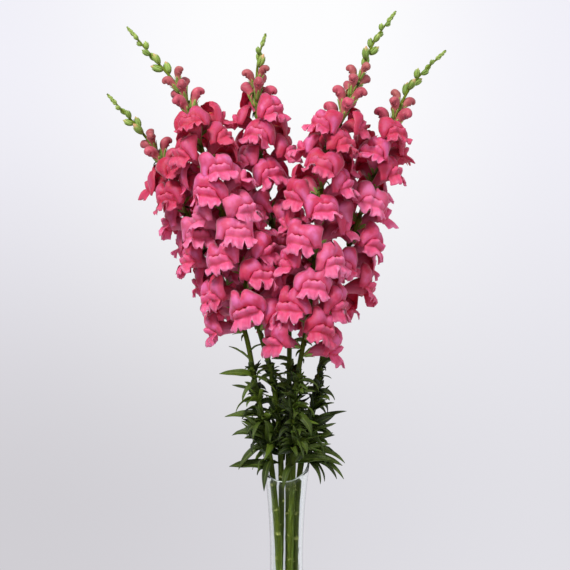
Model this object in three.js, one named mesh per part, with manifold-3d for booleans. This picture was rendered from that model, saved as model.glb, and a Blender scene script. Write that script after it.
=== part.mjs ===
// A bunch of five cut snapdragons standing in a slim glass vase that has a slant-cut mouth.
// Millimetres, +Z up. The origin is on the table at the centre of the vase's foot, and -Y is the front.
import * as THREE from "three";
import { mergeVertices } from "three/addons/utils/BufferGeometryUtils.js";
import Module from "manifold-3d";

const wasm = await Module();
wasm.setup();

const mix = THREE.MathUtils.lerp;
const degrees = THREE.MathUtils.degToRad;

// Driving dimensions of the vase: glass, widest at the foot, narrow at the waist and flared at the mouth.
const VASE_SIDES = 20;
const FOOT_RADIUS = 41;
const FOOT_EDGE = 4;
const FLOOR_RADIUS = 29;
const FLOOR_THICKNESS = 14;
const WAIST_RADIUS = 18.5;
const WAIST_HEIGHT = 150;
const MOUTH_RADIUS = 29;
const MOUTH_TOP = 316;
const WALL = 2.3;
// The mouth is cut by the plane z = MOUTH_HEIGHT + MOUTH_SLANT * y + MOUTH_ROLL * x.
const MOUTH_HEIGHT = 288;
const MOUTH_SLANT = 0.75;
const MOUTH_ROLL = 0.1;
const WATER_HEIGHT = 140;

// The gap left between two solids that touch on the real thing.
const GAP = 0.35;

// Driving dimensions of the plants.
const GOLDEN_ANGLE = degrees(137.508);
const STEM_SIDES = 6;
const RACHIS_SIDES = 4;
const STEM_RADIUS_CUT = 3.9;
const STEM_RADIUS_BLOOM = 2.7;
const STEM_RADIUS_BUDS = 2.0;
const STEM_RADIUS_TIP = 0.9;

// Florets, buds and leaves. Each range goes from the lowest of its kind on a stem to the highest, and its
// stray is how far one may differ from that: a share of a size, or degrees of an angle.
const FLORET_PITCH = 9.2;
const FIRST_FLORET = 3;
const FLORET_UPRIGHT = 0.6;
const FLORET_SIZE = { low: 1.02, high: 0.9, stray: 0.05 };
const FLORET_TAPER = 4;
const FLORET_TILT = { low: -8, high: 16, stray: 9 };
const FLORET_ROLL_STRAY = 14;

const PINK_BUD_PITCH = 6.8;
const PINK_BUD_PHASE = 2;
const PINK_BUD_UPRIGHT = 0.3;
const PINK_BUD_SIZE = { low: 22, high: 13 };
const PINK_BUD_WIDTH = { low: 5, high: 3.4 };

const GREEN_BUD_PITCH = 7.4;
const FIRST_GREEN_BUD = 5;
const GREEN_BUD_PHASE = 1;
const GREEN_BUD_UPRIGHT = 0;
const GREEN_BUD_SIZE = { low: 12.5, high: 4 };
const GREEN_BUD_WIDTH = { low: 3.8, high: 1.7 };

// The knob at a stem's very tip: its length, and its radii at shares of that.
const KNOB_LENGTH = 16;
const KNOB_RADII = [[0, 0.9], [0.45, 2.3], [0.85, 1.5]];

const LEAF_PITCH = 11;
const LEAF_START = 276;
const LEAF_END_BELOW_BLOOM = 8;
const LEAF_PHASE = 0.7;
const LEAF_PHASE_STRAY = 0.5;
const LEAF_UPRIGHT = 0.5;
const LEAF_LENGTH = { low: 36, high: 26, stray: 0.35 };
const LEAF_WIDTH = { low: 9.5, high: 6.5, stray: 0.25 };
const LEAF_SLOPE_START = { low: 52, high: 58, stray: 30 };
const LEAF_SLOPE_END = { low: -40, high: -20, stray: 60 };
const LEAF_SIDEWAYS_STRAY = 0.8;
const LEAF_ROLL_STRAY = 1;
const LEAF_FOOT_THICKNESS = 1.9;
const LEAF_ROOT_DEPTH = -1;
const BLADE_THICKNESS = 0.8;

// Stems stand in a ring in the vase. Each one's place in the ring is an angle.
const RING_RADIUS_FLOOR = 13;
const RING_RADIUS_WAIST = 9;
const RING_TWIST = degrees(30);
const CUT_END_HEIGHT = FLOOR_THICKNESS + GAP;

// Each plant: its place in the ring, its route above the vase's waist up to the tip, and the lengths along
// the stem, counted down from the tip, of the green buds, the closed pink buds and the open florets. A large
// leaf is given by its root's length along the stem, the direction that it points in seen from above, its
// length and width, its slopes at its start and end, and its roll. Its angles are in degrees.
const PLANTS = [
  {
    name: "far_left",
    ring: 223,
    route: [
      [-16, -5, 280],
      [-33, 0, 368],
      [-50, 8, 445],
      [-109, 12, 560],
      [-148, 10, 637],
      [-198, 6, 695],
    ],
    green: 65,
    pink: 54,
    bloom: 190,
    phase: 3.54,
    largeLeaves: [
      [374, 180, 39, 8.5, 8, -6, 60],
      [372, -38, 36, 8, -8, -44, 20],
      [364, 215, 28, 6, -15, -80, 30],
      [304, 192, 34, 9, 40, 24, 50],
      [328, 180, 42, 9.5, 6, -10, 40],
      [297, 160, 30, 10, 58, 30, 60],
      [298, 200, 46, 9, -18, -62, 50],
      [271, 190, 48, 13, 10, -8, 45],
      [278, -104, 46, 8, -8, -86, 0],
    ],
  },
  {
    name: "left",
    ring: 151,
    route: [
      [-6, 8, 280],
      [-14, -6, 372],
      [-42, -20, 475],
      [-79, -22, 590],
      [-115, -16, 694],
      [-147, -10, 734],
      [-175, -8, 767],
    ],
    green: 76,
    pink: 61,
    bloom: 235,
    phase: 5.77,
    largeLeaves: [
      [300, 178, 48, 11, 42, 14, 60],
      [272, 208, 40, 7.5, 20, -80, 20],
    ],
  },
  {
    name: "middle",
    ring: 79,
    route: [
      [2, 13, 280],
      [3, 26, 372],
      [1, 34, 465],
      [-25, 30, 600],
      [-33, 20, 696],
      [-31, 17, 735],
      [-23, 16, 763],
    ],
    green: 44.5,
    pink: 47.5,
    bloom: 240,
    phase: 4.4,
    largeLeaves: [
      [330, 150, 36, 9, 40, -10, 50],
      [300, 20, 40, 9, 50, 0, -50],
    ],
  },
  {
    name: "right",
    ring: -65,
    route: [
      [7, -11, 280],
      [10, -22, 368],
      [26, -27, 465],
      [44, -22, 620],
      [76, -14, 702],
      [97, -10, 752],
      [120, -9, 784],
    ],
    green: 77,
    pink: 73,
    bloom: 251,
    phase: 0.59,
    largeLeaves: [
      [284, 8, 40, 8.5, 52, 36, -60],
      [276, -14, 46, 10.5, 16, -6, -50],
      [272, -112, 42, 8, 8, -88, 0],
    ],
  },
  {
    name: "far_right",
    ring: 7,
    route: [
      [15, 3, 280],
      [35, 8, 378],
      [52, 12, 470],
      [84, 12, 569],
      [114, 10, 650],
      [137, 8, 703],
      [176, 6, 743],
    ],
    green: 73,
    pink: 46,
    bloom: 202,
    phase: 1.2,
    largeLeaves: [
      [385, 5, 22, 6.5, 42, 20, -60],
      [314, 2, 48, 7.5, 38, 6, -50],
      [288, 4, 52, 8.5, 14, -48, -50],
      [282, -8, 56, 8, 2, -58, -50],
      [292, -20, 34, 7.5, 16, -30, -40],
      [276, -46, 44, 7.5, 14, -88, 0],
      [280, -16, 50, 8.5, 8, -66, -40],
      [281, -12, 48, 9, 8, -30, -60],
      [278, -28, 42, 7, 10, -86, 0],
      [283, -2, 46, 7.5, 8, -70, -30],
    ],
  },
];

// Numbers that look random and are the same every time, from -amount to amount. Each plant has its own
// seed, and each use of them its own channel.
const SEED_STEP = 40;
const CHANNEL_STEPS = [0.7548776662, 0.5698402911, 0.8191725134, 0.6710436067, 0.8566748839];

function vary(seed, channel, amount) {
  const share = ((seed + 1) * CHANNEL_STEPS[channel] + 0.5) % 1;
  return (2 * share - 1) * amount;
}

const between = (range, share) => mix(range.low, range.high, share);
const strayed = (range, share, ...draw) => between(range, share) + vary(...draw, range.stray);
const scaled = (range, share, ...draw) => between(range, share) * (1 + vary(...draw, range.stray));

const UP = new THREE.Vector3(0, 0, 1);

// Joining and cutting of closed meshes.
function solidOf(points, triangles) {
  const geometry = new THREE.BufferGeometry();
  const flat = points.flatMap((p) => [p.x, p.y, p.z]);
  geometry.setAttribute("position", new THREE.Float32BufferAttribute(flat, 3));
  geometry.setIndex(triangles.flat());
  return solidOfGeometry(geometry);
}

function solidOfGeometry(geometry) {
  const bare = geometry.clone();
  bare.deleteAttribute("normal");
  bare.deleteAttribute("uv");
  const merged = mergeVertices(bare, 1e-4);
  const triVerts = new Uint32Array(merged.index.array);
  const vertProperties = new Float32Array(merged.attributes.position.array);
  const make = () => new wasm.Manifold(new wasm.Mesh({ numProp: 3, vertProperties, triVerts }));
  const solid = make();
  if (solid.volume() > 0) return solid;
  for (let i = 0; i < triVerts.length; i += 3) {
    [triVerts[i + 1], triVerts[i + 2]] = [triVerts[i + 2], triVerts[i + 1]];
  }
  return make();
}

const join = (solids) => solids.reduce((sum, next) => sum.add(next));

function cutAll(solid, cutters) {
  const box = solid.boundingBox();
  const near = cutters.filter((cutter) => {
    const other = cutter.boundingBox();
    return [0, 1, 2].every((k) => box.min[k] < other.max[k] && other.min[k] < box.max[k]);
  });
  return near.reduce((left, cutter) => left.subtract(cutter), solid);
}

// Keeps the largest piece: a cut can leave loose scraps.
function largest(solid) {
  const pieces = solid.decompose();
  return pieces.reduce((best, piece) => (piece.volume() > best.volume() ? piece : best));
}

function meshOf(name, solid, material) {
  const made = solid.getMesh();
  const positions = new Float32Array(made.numVert * 3);
  for (let i = 0; i < made.numVert; i++) {
    positions.set(made.vertProperties.subarray(i * made.numProp, i * made.numProp + 3), i * 3);
  }
  const geometry = new THREE.BufferGeometry();
  geometry.setAttribute("position", new THREE.BufferAttribute(positions, 3));
  geometry.setIndex(new THREE.BufferAttribute(new Uint32Array(made.triVerts), 1));
  geometry.computeVertexNormals();
  const mesh = new THREE.Mesh(geometry, material);
  mesh.name = name;
  return mesh;
}

// Triangles between two rows of vertex numbers, walked together by each vertex's share of its row.
// Rows that share a corner leave out the triangle that would be flat.
function zip(low, high) {
  const triangles = [];
  let i = 0;
  let j = 0;
  while (i < low.length - 1 || j < high.length - 1) {
    const nextLow = i < low.length - 1 ? (i + 1) / (low.length - 1) : Infinity;
    const nextHigh = j < high.length - 1 ? (j + 1) / (high.length - 1) : Infinity;
    if (nextLow <= nextHigh) {
      triangles.push([low[i], low[i + 1], high[j]]);
      i += 1;
    } else {
      triangles.push([low[i], high[j + 1], high[j]]);
      j += 1;
    }
  }
  return triangles.filter(([a, b, c]) => a !== b && b !== c && c !== a);
}

const closed = (ring) => [...ring, ring[0]];
const fan = (ring) => ring.slice(2).map((_, i) => [ring[0], ring[i + 2], ring[i + 1]]);

// A body carried through rings of points. A ring of one point is a pointed end.
function loft(rings) {
  const points = rings.flat();
  const numbers = [];
  let first = 0;
  for (const ring of rings) {
    numbers.push(ring.map((_, i) => first + i));
    first += ring.length;
  }
  const triangles = fan(numbers[0]);
  for (let k = 0; k + 1 < rings.length; k++) {
    triangles.push(...zip(closed(numbers[k]), closed(numbers[k + 1])));
  }
  triangles.push(...fan([...numbers.at(-1)].reverse()));
  return solidOf(points, triangles);
}

// A round ring of points about a centre, square to a direction. The first lies to the side of -Y.
const RING_REFERENCE = new THREE.Vector3(0.31, 0.95, 0.02);

function ringAt(centre, along, radius, sides) {
  const side = new THREE.Vector3().crossVectors(along, RING_REFERENCE).normalize();
  const other = new THREE.Vector3().crossVectors(along, side).normalize();
  return Array.from({ length: sides }, (_, i) => {
    const turn = (2 * Math.PI * i) / sides;
    return centre
      .clone()
      .addScaledVector(side, radius * Math.cos(turn))
      .addScaledVector(other, radius * Math.sin(turn));
  });
}

// The vase's outer outline: radius and height, from the underside of its foot to above its mouth.
const VASE_OUTLINE = [
  [FOOT_RADIUS - FOOT_EDGE / 2, 0],
  [FOOT_RADIUS, FOOT_EDGE],
  [mix(WAIST_RADIUS, FOOT_RADIUS, 0.72), 24],
  [mix(WAIST_RADIUS, FOOT_RADIUS, 0.4), 54],
  [mix(WAIST_RADIUS, FOOT_RADIUS, 0.14), 94],
  [WAIST_RADIUS, WAIST_HEIGHT],
  [mix(WAIST_RADIUS, MOUTH_RADIUS, 0.26), 252],
  [mix(WAIST_RADIUS, MOUTH_RADIUS, 0.62), 284],
  [MOUTH_RADIUS, MOUTH_TOP],
];

function outerRadius(height) {
  const above = VASE_OUTLINE.findIndex(([, h]) => h >= height);
  const [lowRadius, low] = VASE_OUTLINE[above - 1];
  const [highRadius, high] = VASE_OUTLINE[above];
  return mix(lowRadius, highRadius, (height - low) / (high - low));
}

// The hollow's outline above its floor, up to a height, inset from the outer one.
const hollow = (inset, top) =>
  VASE_OUTLINE.filter(([, h]) => h > FLOOR_THICKNESS && h <= top).map(([radius, h]) => [radius - inset, h]);

function latheOf(outline) {
  const points = outline.map(([radius, height]) => new THREE.Vector2(radius, height));
  const geometry = new THREE.LatheGeometry(points, VASE_SIDES);
  geometry.rotateX(Math.PI / 2);
  return solidOfGeometry(geometry);
}

// Everything above the slanted plane of the mouth, raised by the growth.
const CUT_BLOCK = 200;

function aboveMouth(grow) {
  const geometry = new THREE.BoxGeometry(CUT_BLOCK, CUT_BLOCK, CUT_BLOCK);
  geometry.translate(0, 0, CUT_BLOCK / 2);
  const normal = new THREE.Vector3(-MOUTH_ROLL, -MOUTH_SLANT, 1).normalize();
  geometry.applyQuaternion(new THREE.Quaternion().setFromUnitVectors(UP, normal));
  geometry.translate(0, 0, MOUTH_HEIGHT + 2 * grow);
  return solidOfGeometry(geometry);
}

function vaseSolid(grow) {
  const floor = FLOOR_THICKNESS + grow;
  const profile = [
    [0, -grow],
    ...VASE_OUTLINE.map(([radius, h]) => [radius + grow, h || -grow]),
    ...hollow(WALL + grow, MOUTH_TOP).reverse(),
    [FLOOR_RADIUS, floor],
    [0, floor],
  ];
  return latheOf(profile).subtract(aboveMouth(grow));
}

// The water fills the vase up to its level, with a plain hole for each stem.
function waterSolid(stems) {
  const inset = WALL + GAP;
  const bottom = FLOOR_THICKNESS + GAP;
  const profile = [
    [0, bottom],
    [FLOOR_RADIUS - GAP, bottom],
    ...hollow(inset, WATER_HEIGHT),
    [outerRadius(WATER_HEIGHT) - inset, WATER_HEIGHT],
    [0, WATER_HEIGHT],
  ];
  return cutAll(latheOf(profile), stems);
}

// The line of a stem from its cut end to its tip.
const ARC_DIVISIONS = 400;

function stemLine(plant) {
  const turn = degrees(plant.ring);
  const inRing = (radius, angle, height) =>
    new THREE.Vector3(radius * Math.cos(angle), radius * Math.sin(angle), height);
  return new THREE.CatmullRomCurve3([
    inRing(RING_RADIUS_FLOOR, turn + RING_TWIST, CUT_END_HEIGHT),
    inRing(RING_RADIUS_WAIST, turn, WAIST_HEIGHT),
    ...plant.route.map((p) => new THREE.Vector3(...p)),
  ]);
}

// The part of a stem between two lengths from its cut end.
function stemPiece(plant, from, to, sides, steps, grow) {
  const rings = [];
  for (let i = 0; i <= steps; i++) {
    const length = mix(from, to, i / steps);
    rings.push(ringAt(pointOn(plant, length), alongOf(plant, length), radiusOf(plant, length) + grow, sides));
  }
  return loft(rings);
}

const shareOf = (plant, length) => THREE.MathUtils.clamp(length / plant.length, 0, 1);
const pointOn = (plant, length) => plant.line.getPointAt(shareOf(plant, length));
const alongOf = (plant, length) => plant.line.getTangentAt(shareOf(plant, length));

function radiusOf(plant, length) {
  const { bloomStart, bloomEnd } = plant;
  if (length < bloomStart) return mix(STEM_RADIUS_CUT, STEM_RADIUS_BLOOM, length / bloomStart);
  if (length < bloomEnd) {
    return mix(STEM_RADIUS_BLOOM, STEM_RADIUS_BUDS, (length - bloomStart) / (bloomEnd - bloomStart));
  }
  return mix(STEM_RADIUS_BUDS, STEM_RADIUS_TIP, (length - bloomEnd) / (plant.length - bloomEnd));
}

// Turns an outward direction away from the other stems at its height, as crowded flowers and leaves turn.
const CROWD_REACH = 70;
const CROWD_PUSH = 0.9;
const CROWD_SAMPLES = 200;
const SAME_HEIGHT = 12;

function clearOfOthers(plant, place, outward) {
  const turned = outward.clone();
  const heightFrom = (p) => Math.abs(p.z - place.z);
  for (const other of PLANTS.filter((one) => one !== plant)) {
    const level = other.samples.reduce((best, p) => (heightFrom(p) < heightFrom(best) ? p : best));
    const away = new THREE.Vector3(place.x - level.x, place.y - level.y, 0);
    const distance = away.length();
    if (heightFrom(level) < SAME_HEIGHT && distance < CROWD_REACH) {
      turned.addScaledVector(away.normalize(), CROWD_PUSH * (1 - distance / CROWD_REACH));
    }
  }
  return turned;
}

// A frame at a length along a stem: x across, y outward, z up, leaning from the stem towards upright.
function frameAt(plant, length, turn, upright) {
  const along = alongOf(plant, length);
  const place = pointOn(plant, length);
  const level = new THREE.Vector3(Math.cos(turn), Math.sin(turn), 0);
  const outward = clearOfOthers(plant, place, level);
  const up = along.clone().lerp(UP, upright).normalize();
  outward.addScaledVector(up, -outward.dot(up)).normalize();
  const across = new THREE.Vector3().crossVectors(outward, up).normalize();
  return new THREE.Matrix4().makeBasis(across, outward, up).setPosition(place);
}

// An open floret, full size, about its stem: x across, y outward, z up. The tube is a row of rings, the
// edge is where the lips turn back, and the rows between make the face: the crest and brow of the
// two-lobed hood, the closed mouth, the swollen palate, and the edge of the three-lobed lower lip.
const FLORET = {
  root: [[0, 0.2, -0.5]],
  pouch: [[0, 9, 10.5], [4.8, 12.4, 3], [-4.8, 12.4, 3]],
  throat: [[0, 18, 22], [7.4, 21, 14], [0, 26.4, 4.6], [-7.4, 21, 14]],
  edge: [
    [0, 24.6, 29.6],
    [8.8, 22.4, 33.4],
    [16.6, 23, 21],
    [16.2, 33.4, 2.8],
    [8, 36, 4.6],
    [0, 39, 0],
    [-8, 36, 4.6],
    [-16.2, 33.4, 2.8],
    [-16.6, 23, 21],
    [-8.8, 22.4, 33.4],
  ],
  crest: [[-8.6, 29.4, 35.4], [8.6, 29.4, 35.4]],
  brow: [[-8.8, 35, 23.4], [8.8, 35, 23.4]],
  mouth: [[0, 30, 19.4]],
  palate: [[-5.8, 36.6, 16], [5.8, 36.6, 16]],
};

function floretParts() {
  const names = ["root", "pouch", "throat", "edge", "crest", "brow", "mouth", "palate"];
  const numbers = {};
  let first = 0;
  for (const name of names) {
    numbers[name] = FLORET[name].map((_, i) => first + i);
    first += FLORET[name].length;
  }
  const { root, pouch, throat, edge, crest, brow, mouth, palate } = numbers;
  const [top, topRight, hoodRight, lipRight, notchRight] = edge;
  const [lip, notchLeft, lipLeft, hoodLeft, topLeft] = edge.slice(5);
  const rows = [
    [hoodLeft, topLeft, top, topRight, hoodRight],
    [hoodLeft, ...crest, hoodRight],
    [hoodLeft, ...brow, hoodRight],
    [hoodLeft, ...mouth, hoodRight],
    [lipLeft, ...palate, lipRight],
    [lipLeft, notchLeft, lip, notchRight, lipRight],
  ];
  const sides = [root, pouch, throat, edge].map(closed);
  const triangles = [];
  for (const [first, ...others] of [sides, rows]) {
    others.reduce((low, high) => {
      triangles.push(...zip(low, high));
      return high;
    }, first);
  }
  return { points: names.flatMap((name) => FLORET[name]), triangles };
}

const FLORET_PARTS = floretParts();

// Moves each point out so that every face about it moves out by at least the growth. The direction starts
// as the mean of the faces' own and is leaned again and again towards the face that it serves least.
const LEAN_STEPS = 20;
const LEAN_SHARE = 0.3;
const SHARPEST = 0.2;

function grown(points, triangles, grow) {
  if (!grow) return points;
  const faces = points.map(() => []);
  for (const [a, b, c] of triangles) {
    const normal = new THREE.Vector3()
      .subVectors(points[b], points[a])
      .cross(new THREE.Vector3().subVectors(points[c], points[a]))
      .normalize();
    [a, b, c].forEach((i) => faces[i].push(normal));
  }
  return points.map((p, i) => {
    const way = faces[i].reduce((sum, normal) => sum.add(normal), new THREE.Vector3()).normalize();
    const least = () => faces[i].reduce((low, normal) => (normal.dot(way) < low.dot(way) ? normal : low));
    for (let k = 0; k < LEAN_STEPS; k++) {
      way.addScaledVector(least(), LEAN_SHARE).normalize();
    }
    return p.clone().addScaledVector(way, grow / Math.max(SHARPEST, least().dot(way)));
  });
}

function floret(matrix, size, grow) {
  const { points, triangles } = FLORET_PARTS;
  const placed = points.map(([x, y, z]) =>
    new THREE.Vector3(x, y, z).multiplyScalar(size).applyMatrix4(matrix),
  );
  return solidOf(grown(placed, triangles, grow), triangles);
}

// A bud: a body along a line that leans out from the stem. A pink one nods over at its tip. A station is
// how far out and up it lies, as shares of the bud's size, and the body's radius as a share of its width.
const BUD_SIDES = 4;
const BUD_ALONG = new THREE.Vector3(0, 0.7, 1).normalize();
const BUD_ROOT = 0.2;
const GREEN_BUD = { stations: [[0.38, 0.5, 1], [0.56, 0.94, 0.8]], tip: [0.72, 1.25] };
const PINK_BUD = { stations: [[0.28, 0.66, 1], [0.62, 1.2, 1.3]], tip: [0.96, 1.14] };

function bud(matrix, kind, size, width, grow) {
  const centreOf = ([out, up]) => new THREE.Vector3(0, out * size, up * size);
  const rings = kind.stations.map(([out, up, wide]) =>
    ringAt(centreOf([out, up]), BUD_ALONG, wide * width + grow, BUD_SIDES),
  );
  const root = new THREE.Vector3(0, BUD_ROOT, 0);
  const tip = centreOf(kind.tip);
  tip.y += grow;
  return loft([[root], ...rings, [tip]].map((ring) => ring.map((p) => p.applyMatrix4(matrix))));
}

// A blade along four points: pointed in the stem and at its tip, with a width and thickness at the two
// points between. Corners 0 to 3 are at the lower of those, 4 to 7 at the upper, 8 is the root and 9 the
// tip. Both faces are split alike.
function blade([root, low, high, tip], across, widths, thicknesses) {
  const corners = [low, high].flatMap((p, i) => {
    const along = i === 0 ? high.clone().sub(root) : tip.clone().sub(low);
    along.normalize();
    const side = across.clone().addScaledVector(along, -across.dot(along)).normalize();
    const face = new THREE.Vector3().crossVectors(side, along).normalize();
    return [[-1, 1], [1, 1], [1, -1], [-1, -1]].map(([s, f]) =>
      p
        .clone()
        .addScaledVector(side, (s * widths[i]) / 2)
        .addScaledVector(face, (f * thicknesses[i]) / 2),
    );
  });
  const triangles = [
    [8, 1, 0],
    [8, 2, 1],
    [8, 3, 2],
    [8, 0, 3],
    [0, 1, 5],
    [0, 5, 4],
    [3, 6, 2],
    [3, 7, 6],
    [1, 2, 6],
    [1, 6, 5],
    [0, 7, 3],
    [0, 4, 7],
    [4, 5, 9],
    [5, 6, 9],
    [6, 7, 9],
    [7, 4, 9],
  ];
  return solidOf([...corners, root, tip], triangles);
}

// A leaf from a frame: it starts at one slope and bends over its length to another, turned about its root.
// Its foot is thick, where the midrib runs into the stem.
const LEAF_STEPS = [0.36, 0.36, 0.28];
const LEAF_NARROWING = 0.8;

function leaf(matrix, { length, width, slopeStart, slopeEnd, sideways, roll }, grow) {
  const points = [new THREE.Vector3(0, LEAF_ROOT_DEPTH, 0)];
  LEAF_STEPS.forEach((step, i) => {
    const share = (i + 0.5) / LEAF_STEPS.length;
    const slope = mix(slopeStart, slopeEnd, share);
    const turn = sideways * share;
    const out = new THREE.Vector3(Math.sin(turn), Math.cos(turn), 0).multiplyScalar(Math.cos(slope));
    out.z = Math.sin(slope);
    points.push(points[i].clone().addScaledVector(out, step * length));
  });
  const across = new THREE.Vector3(Math.cos(roll), 0, Math.sin(roll)).transformDirection(matrix);
  const widths = [width + 2 * grow, LEAF_NARROWING * width + 2 * grow];
  const thicknesses = [LEAF_FOOT_THICKNESS + 2 * grow, BLADE_THICKNESS + 2 * grow];
  return blade(points.map((p) => p.applyMatrix4(matrix)), across, widths, thicknesses);
}

// The open florets of a plant, from the lowest up. They are smaller and more upright towards the top.
function florets(plant, grow) {
  const count = Math.floor(plant.bloom / FLORET_PITCH);
  return Array.from({ length: count }, (_, n) => {
    const share = n / (count - 1);
    const seed = plant.seed + n;
    const length = plant.bloomStart + FIRST_FLORET + n * FLORET_PITCH;
    const matrix = frameAt(plant, length, plant.phase + n * GOLDEN_ANGLE, FLORET_UPRIGHT);
    matrix.multiply(new THREE.Matrix4().makeRotationX(degrees(strayed(FLORET_TILT, share, seed, 1))));
    matrix.multiply(new THREE.Matrix4().makeRotationY(degrees(vary(seed, 2, FLORET_ROLL_STRAY))));
    return floret(matrix, scaled(FLORET_SIZE, share ** FLORET_TAPER, seed, 0), grow);
  });
}

// Closed pink buds between the open florets and the green ones.
function pinkBuds(plant, grow) {
  const count = Math.floor(plant.pink / PINK_BUD_PITCH);
  return Array.from({ length: count }, (_, n) => {
    const length = plant.bloomEnd + n * PINK_BUD_PITCH;
    const turn = plant.phase + PINK_BUD_PHASE + n * GOLDEN_ANGLE;
    const matrix = frameAt(plant, length, turn, PINK_BUD_UPRIGHT);
    return bud(matrix, PINK_BUD, between(PINK_BUD_SIZE, n / count), between(PINK_BUD_WIDTH, n / count), grow);
  });
}

// Green buds up to the tip, each smaller than the last.
function greenBuds(plant) {
  const start = plant.length - plant.green + FIRST_GREEN_BUD;
  const count = Math.floor((plant.green - KNOB_LENGTH) / GREEN_BUD_PITCH);
  return Array.from({ length: count }, (_, n) => {
    const turn = plant.phase + GREEN_BUD_PHASE + n * GOLDEN_ANGLE;
    const matrix = frameAt(plant, start + n * GREEN_BUD_PITCH, turn, GREEN_BUD_UPRIGHT);
    return bud(matrix, GREEN_BUD, between(GREEN_BUD_SIZE, n / count), between(GREEN_BUD_WIDTH, n / count), 0);
  });
}

// The youngest buds, one closed knob about the end of the stem.
function knob(plant) {
  const start = plant.length - KNOB_LENGTH;
  const rings = KNOB_RADII.map(([share, radius]) => {
    const length = start + share * KNOB_LENGTH;
    return ringAt(pointOn(plant, length), alongOf(plant, length), radius, BUD_SIDES);
  });
  return loft([...rings, [pointOn(plant, plant.length)]]);
}

// Leaves of the bare stem, from the vase's mouth to just below the florets, shorter towards the top.
function leaves(plant, grow) {
  const count = Math.floor((plant.bloomStart - LEAF_END_BELOW_BLOOM - LEAF_START) / LEAF_PITCH);
  return Array.from({ length: count }, (_, n) => {
    const share = n / count;
    const seed = plant.seed + n;
    const turn = plant.phase + LEAF_PHASE + n * GOLDEN_ANGLE + vary(seed, 4, LEAF_PHASE_STRAY);
    const shape = {
      length: scaled(LEAF_LENGTH, share, seed, 0),
      width: scaled(LEAF_WIDTH, share, seed, 1),
      slopeStart: degrees(strayed(LEAF_SLOPE_START, share, seed, 2)),
      slopeEnd: degrees(strayed(LEAF_SLOPE_END, share, seed, 3)),
      sideways: vary(seed, 1, LEAF_SIDEWAYS_STRAY),
      roll: vary(seed, 2, LEAF_ROLL_STRAY),
    };
    return leaf(frameAt(plant, LEAF_START + n * LEAF_PITCH, turn, LEAF_UPRIGHT), shape, grow);
  });
}

// The large leaves stand in upright frames.
function largeLeaves(plant, grow) {
  return plant.largeLeaves.map(([at, direction, length, width, ...angles]) => {
    const [turn, slopeStart, slopeEnd, roll] = [direction, ...angles].map(degrees);
    const outward = new THREE.Vector3(Math.cos(turn), Math.sin(turn), 0);
    const across = new THREE.Vector3().crossVectors(outward, UP);
    const matrix = new THREE.Matrix4().makeBasis(across, outward, UP).setPosition(pointOn(plant, at));
    return leaf(matrix, { length, width, slopeStart, slopeEnd, sideways: 0, roll }, grow);
  });
}

const foliageOf = (plant, grow) => [...leaves(plant, grow), ...largeLeaves(plant, grow)];

const opaque = (color, roughness) => new THREE.MeshStandardMaterial({ color, roughness, metalness: 0 });

function clear(color, roughness, opacity) {
  return new THREE.MeshStandardMaterial({ color, roughness, metalness: 0, transparent: true, opacity });
}

const stemMaterial = opaque(0x4c6b24, 0.6);
const budMaterial = opaque(0x7fa045, 0.6);
const petalMaterial = opaque(0xe0507f, 0.65);
const glassMaterial = clear(0xe8f0ee, 0.05, 0.3);
const waterMaterial = clear(0xdfeeee, 0.02, 0.25);

PLANTS.forEach((plant, i) => {
  plant.seed = i * SEED_STEP;
  plant.line = stemLine(plant);
  plant.line.arcLengthDivisions = ARC_DIVISIONS;
  plant.length = plant.line.getLength();
  plant.bloomEnd = plant.length - plant.green - plant.pink;
  plant.bloomStart = plant.bloomEnd - plant.bloom;
  plant.samples = plant.line.getSpacedPoints(CROWD_SAMPLES);
});

// Each plant is three solids end to end: the leafy stem, the raceme of florets and the green tip.
const STEM_STEPS = 10;
const RACHIS_STEPS = 6;
const TIP_STEPS = 4;

function rachis(plant, grow) {
  const end = plant.length - plant.green;
  return stemPiece(plant, plant.bloomStart + GAP / 2, end - GAP / 2, RACHIS_SIDES, RACHIS_STEPS, grow);
}

const leafyStem = (plant, grow) =>
  stemPiece(plant, 0, plant.bloomStart - GAP / 2, STEM_SIDES, STEM_STEPS, grow);

const bunch = new THREE.Group();
const stems = PLANTS.map((plant) => leafyStem(plant, 0));
const grownStems = PLANTS.map((plant) => leafyStem(plant, GAP));
const grownVase = vaseSolid(GAP);
const flowersDone = [];
const leavesDone = [];

PLANTS.forEach((plant, i) => {
  const others = grownStems.filter((_, j) => j !== i);
  const flowers = [rachis(plant, 0), ...florets(plant, 0), ...pinkBuds(plant, 0)];
  const raceme = largest(cutAll(join(flowers), [...others, ...flowersDone]));
  bunch.add(meshOf(`raceme_${plant.name}`, raceme, petalMaterial));
  flowersDone.push(rachis(plant, GAP), ...florets(plant, GAP), ...pinkBuds(plant, GAP));

  const start = plant.length - plant.green + GAP / 2;
  const end = plant.length - KNOB_LENGTH / 2;
  const stalk = stemPiece(plant, start, end, RACHIS_SIDES, TIP_STEPS, 0);
  bunch.add(meshOf(`bud_tip_${plant.name}`, join([stalk, knob(plant), ...greenBuds(plant)]), budMaterial));
});

PLANTS.forEach((plant, i) => {
  const others = grownStems.filter((_, j) => j !== i);
  const clearOf = [...others, ...flowersDone, ...leavesDone, grownVase];
  const foliage = cutAll(join(foliageOf(plant, 0)), clearOf);
  bunch.add(meshOf(`stem_${plant.name}`, largest(stems[i].add(foliage)), stemMaterial));
  leavesDone.push(...foliageOf(plant, GAP));
});

bunch.add(meshOf("vase", vaseSolid(0), glassMaterial));
bunch.add(meshOf("water", waterSolid(grownStems), waterMaterial));

export default bunch;
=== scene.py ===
"""A bunch of five cut snapdragons in a slim glass vase, dressed around its packed frame.

Sizes are in millimetres and become the scene's metres when a mesh is made. +Z is up, -Y is the front and the
origin is on the table under the middle of the vase. Named angles are in degrees.
"""

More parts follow.
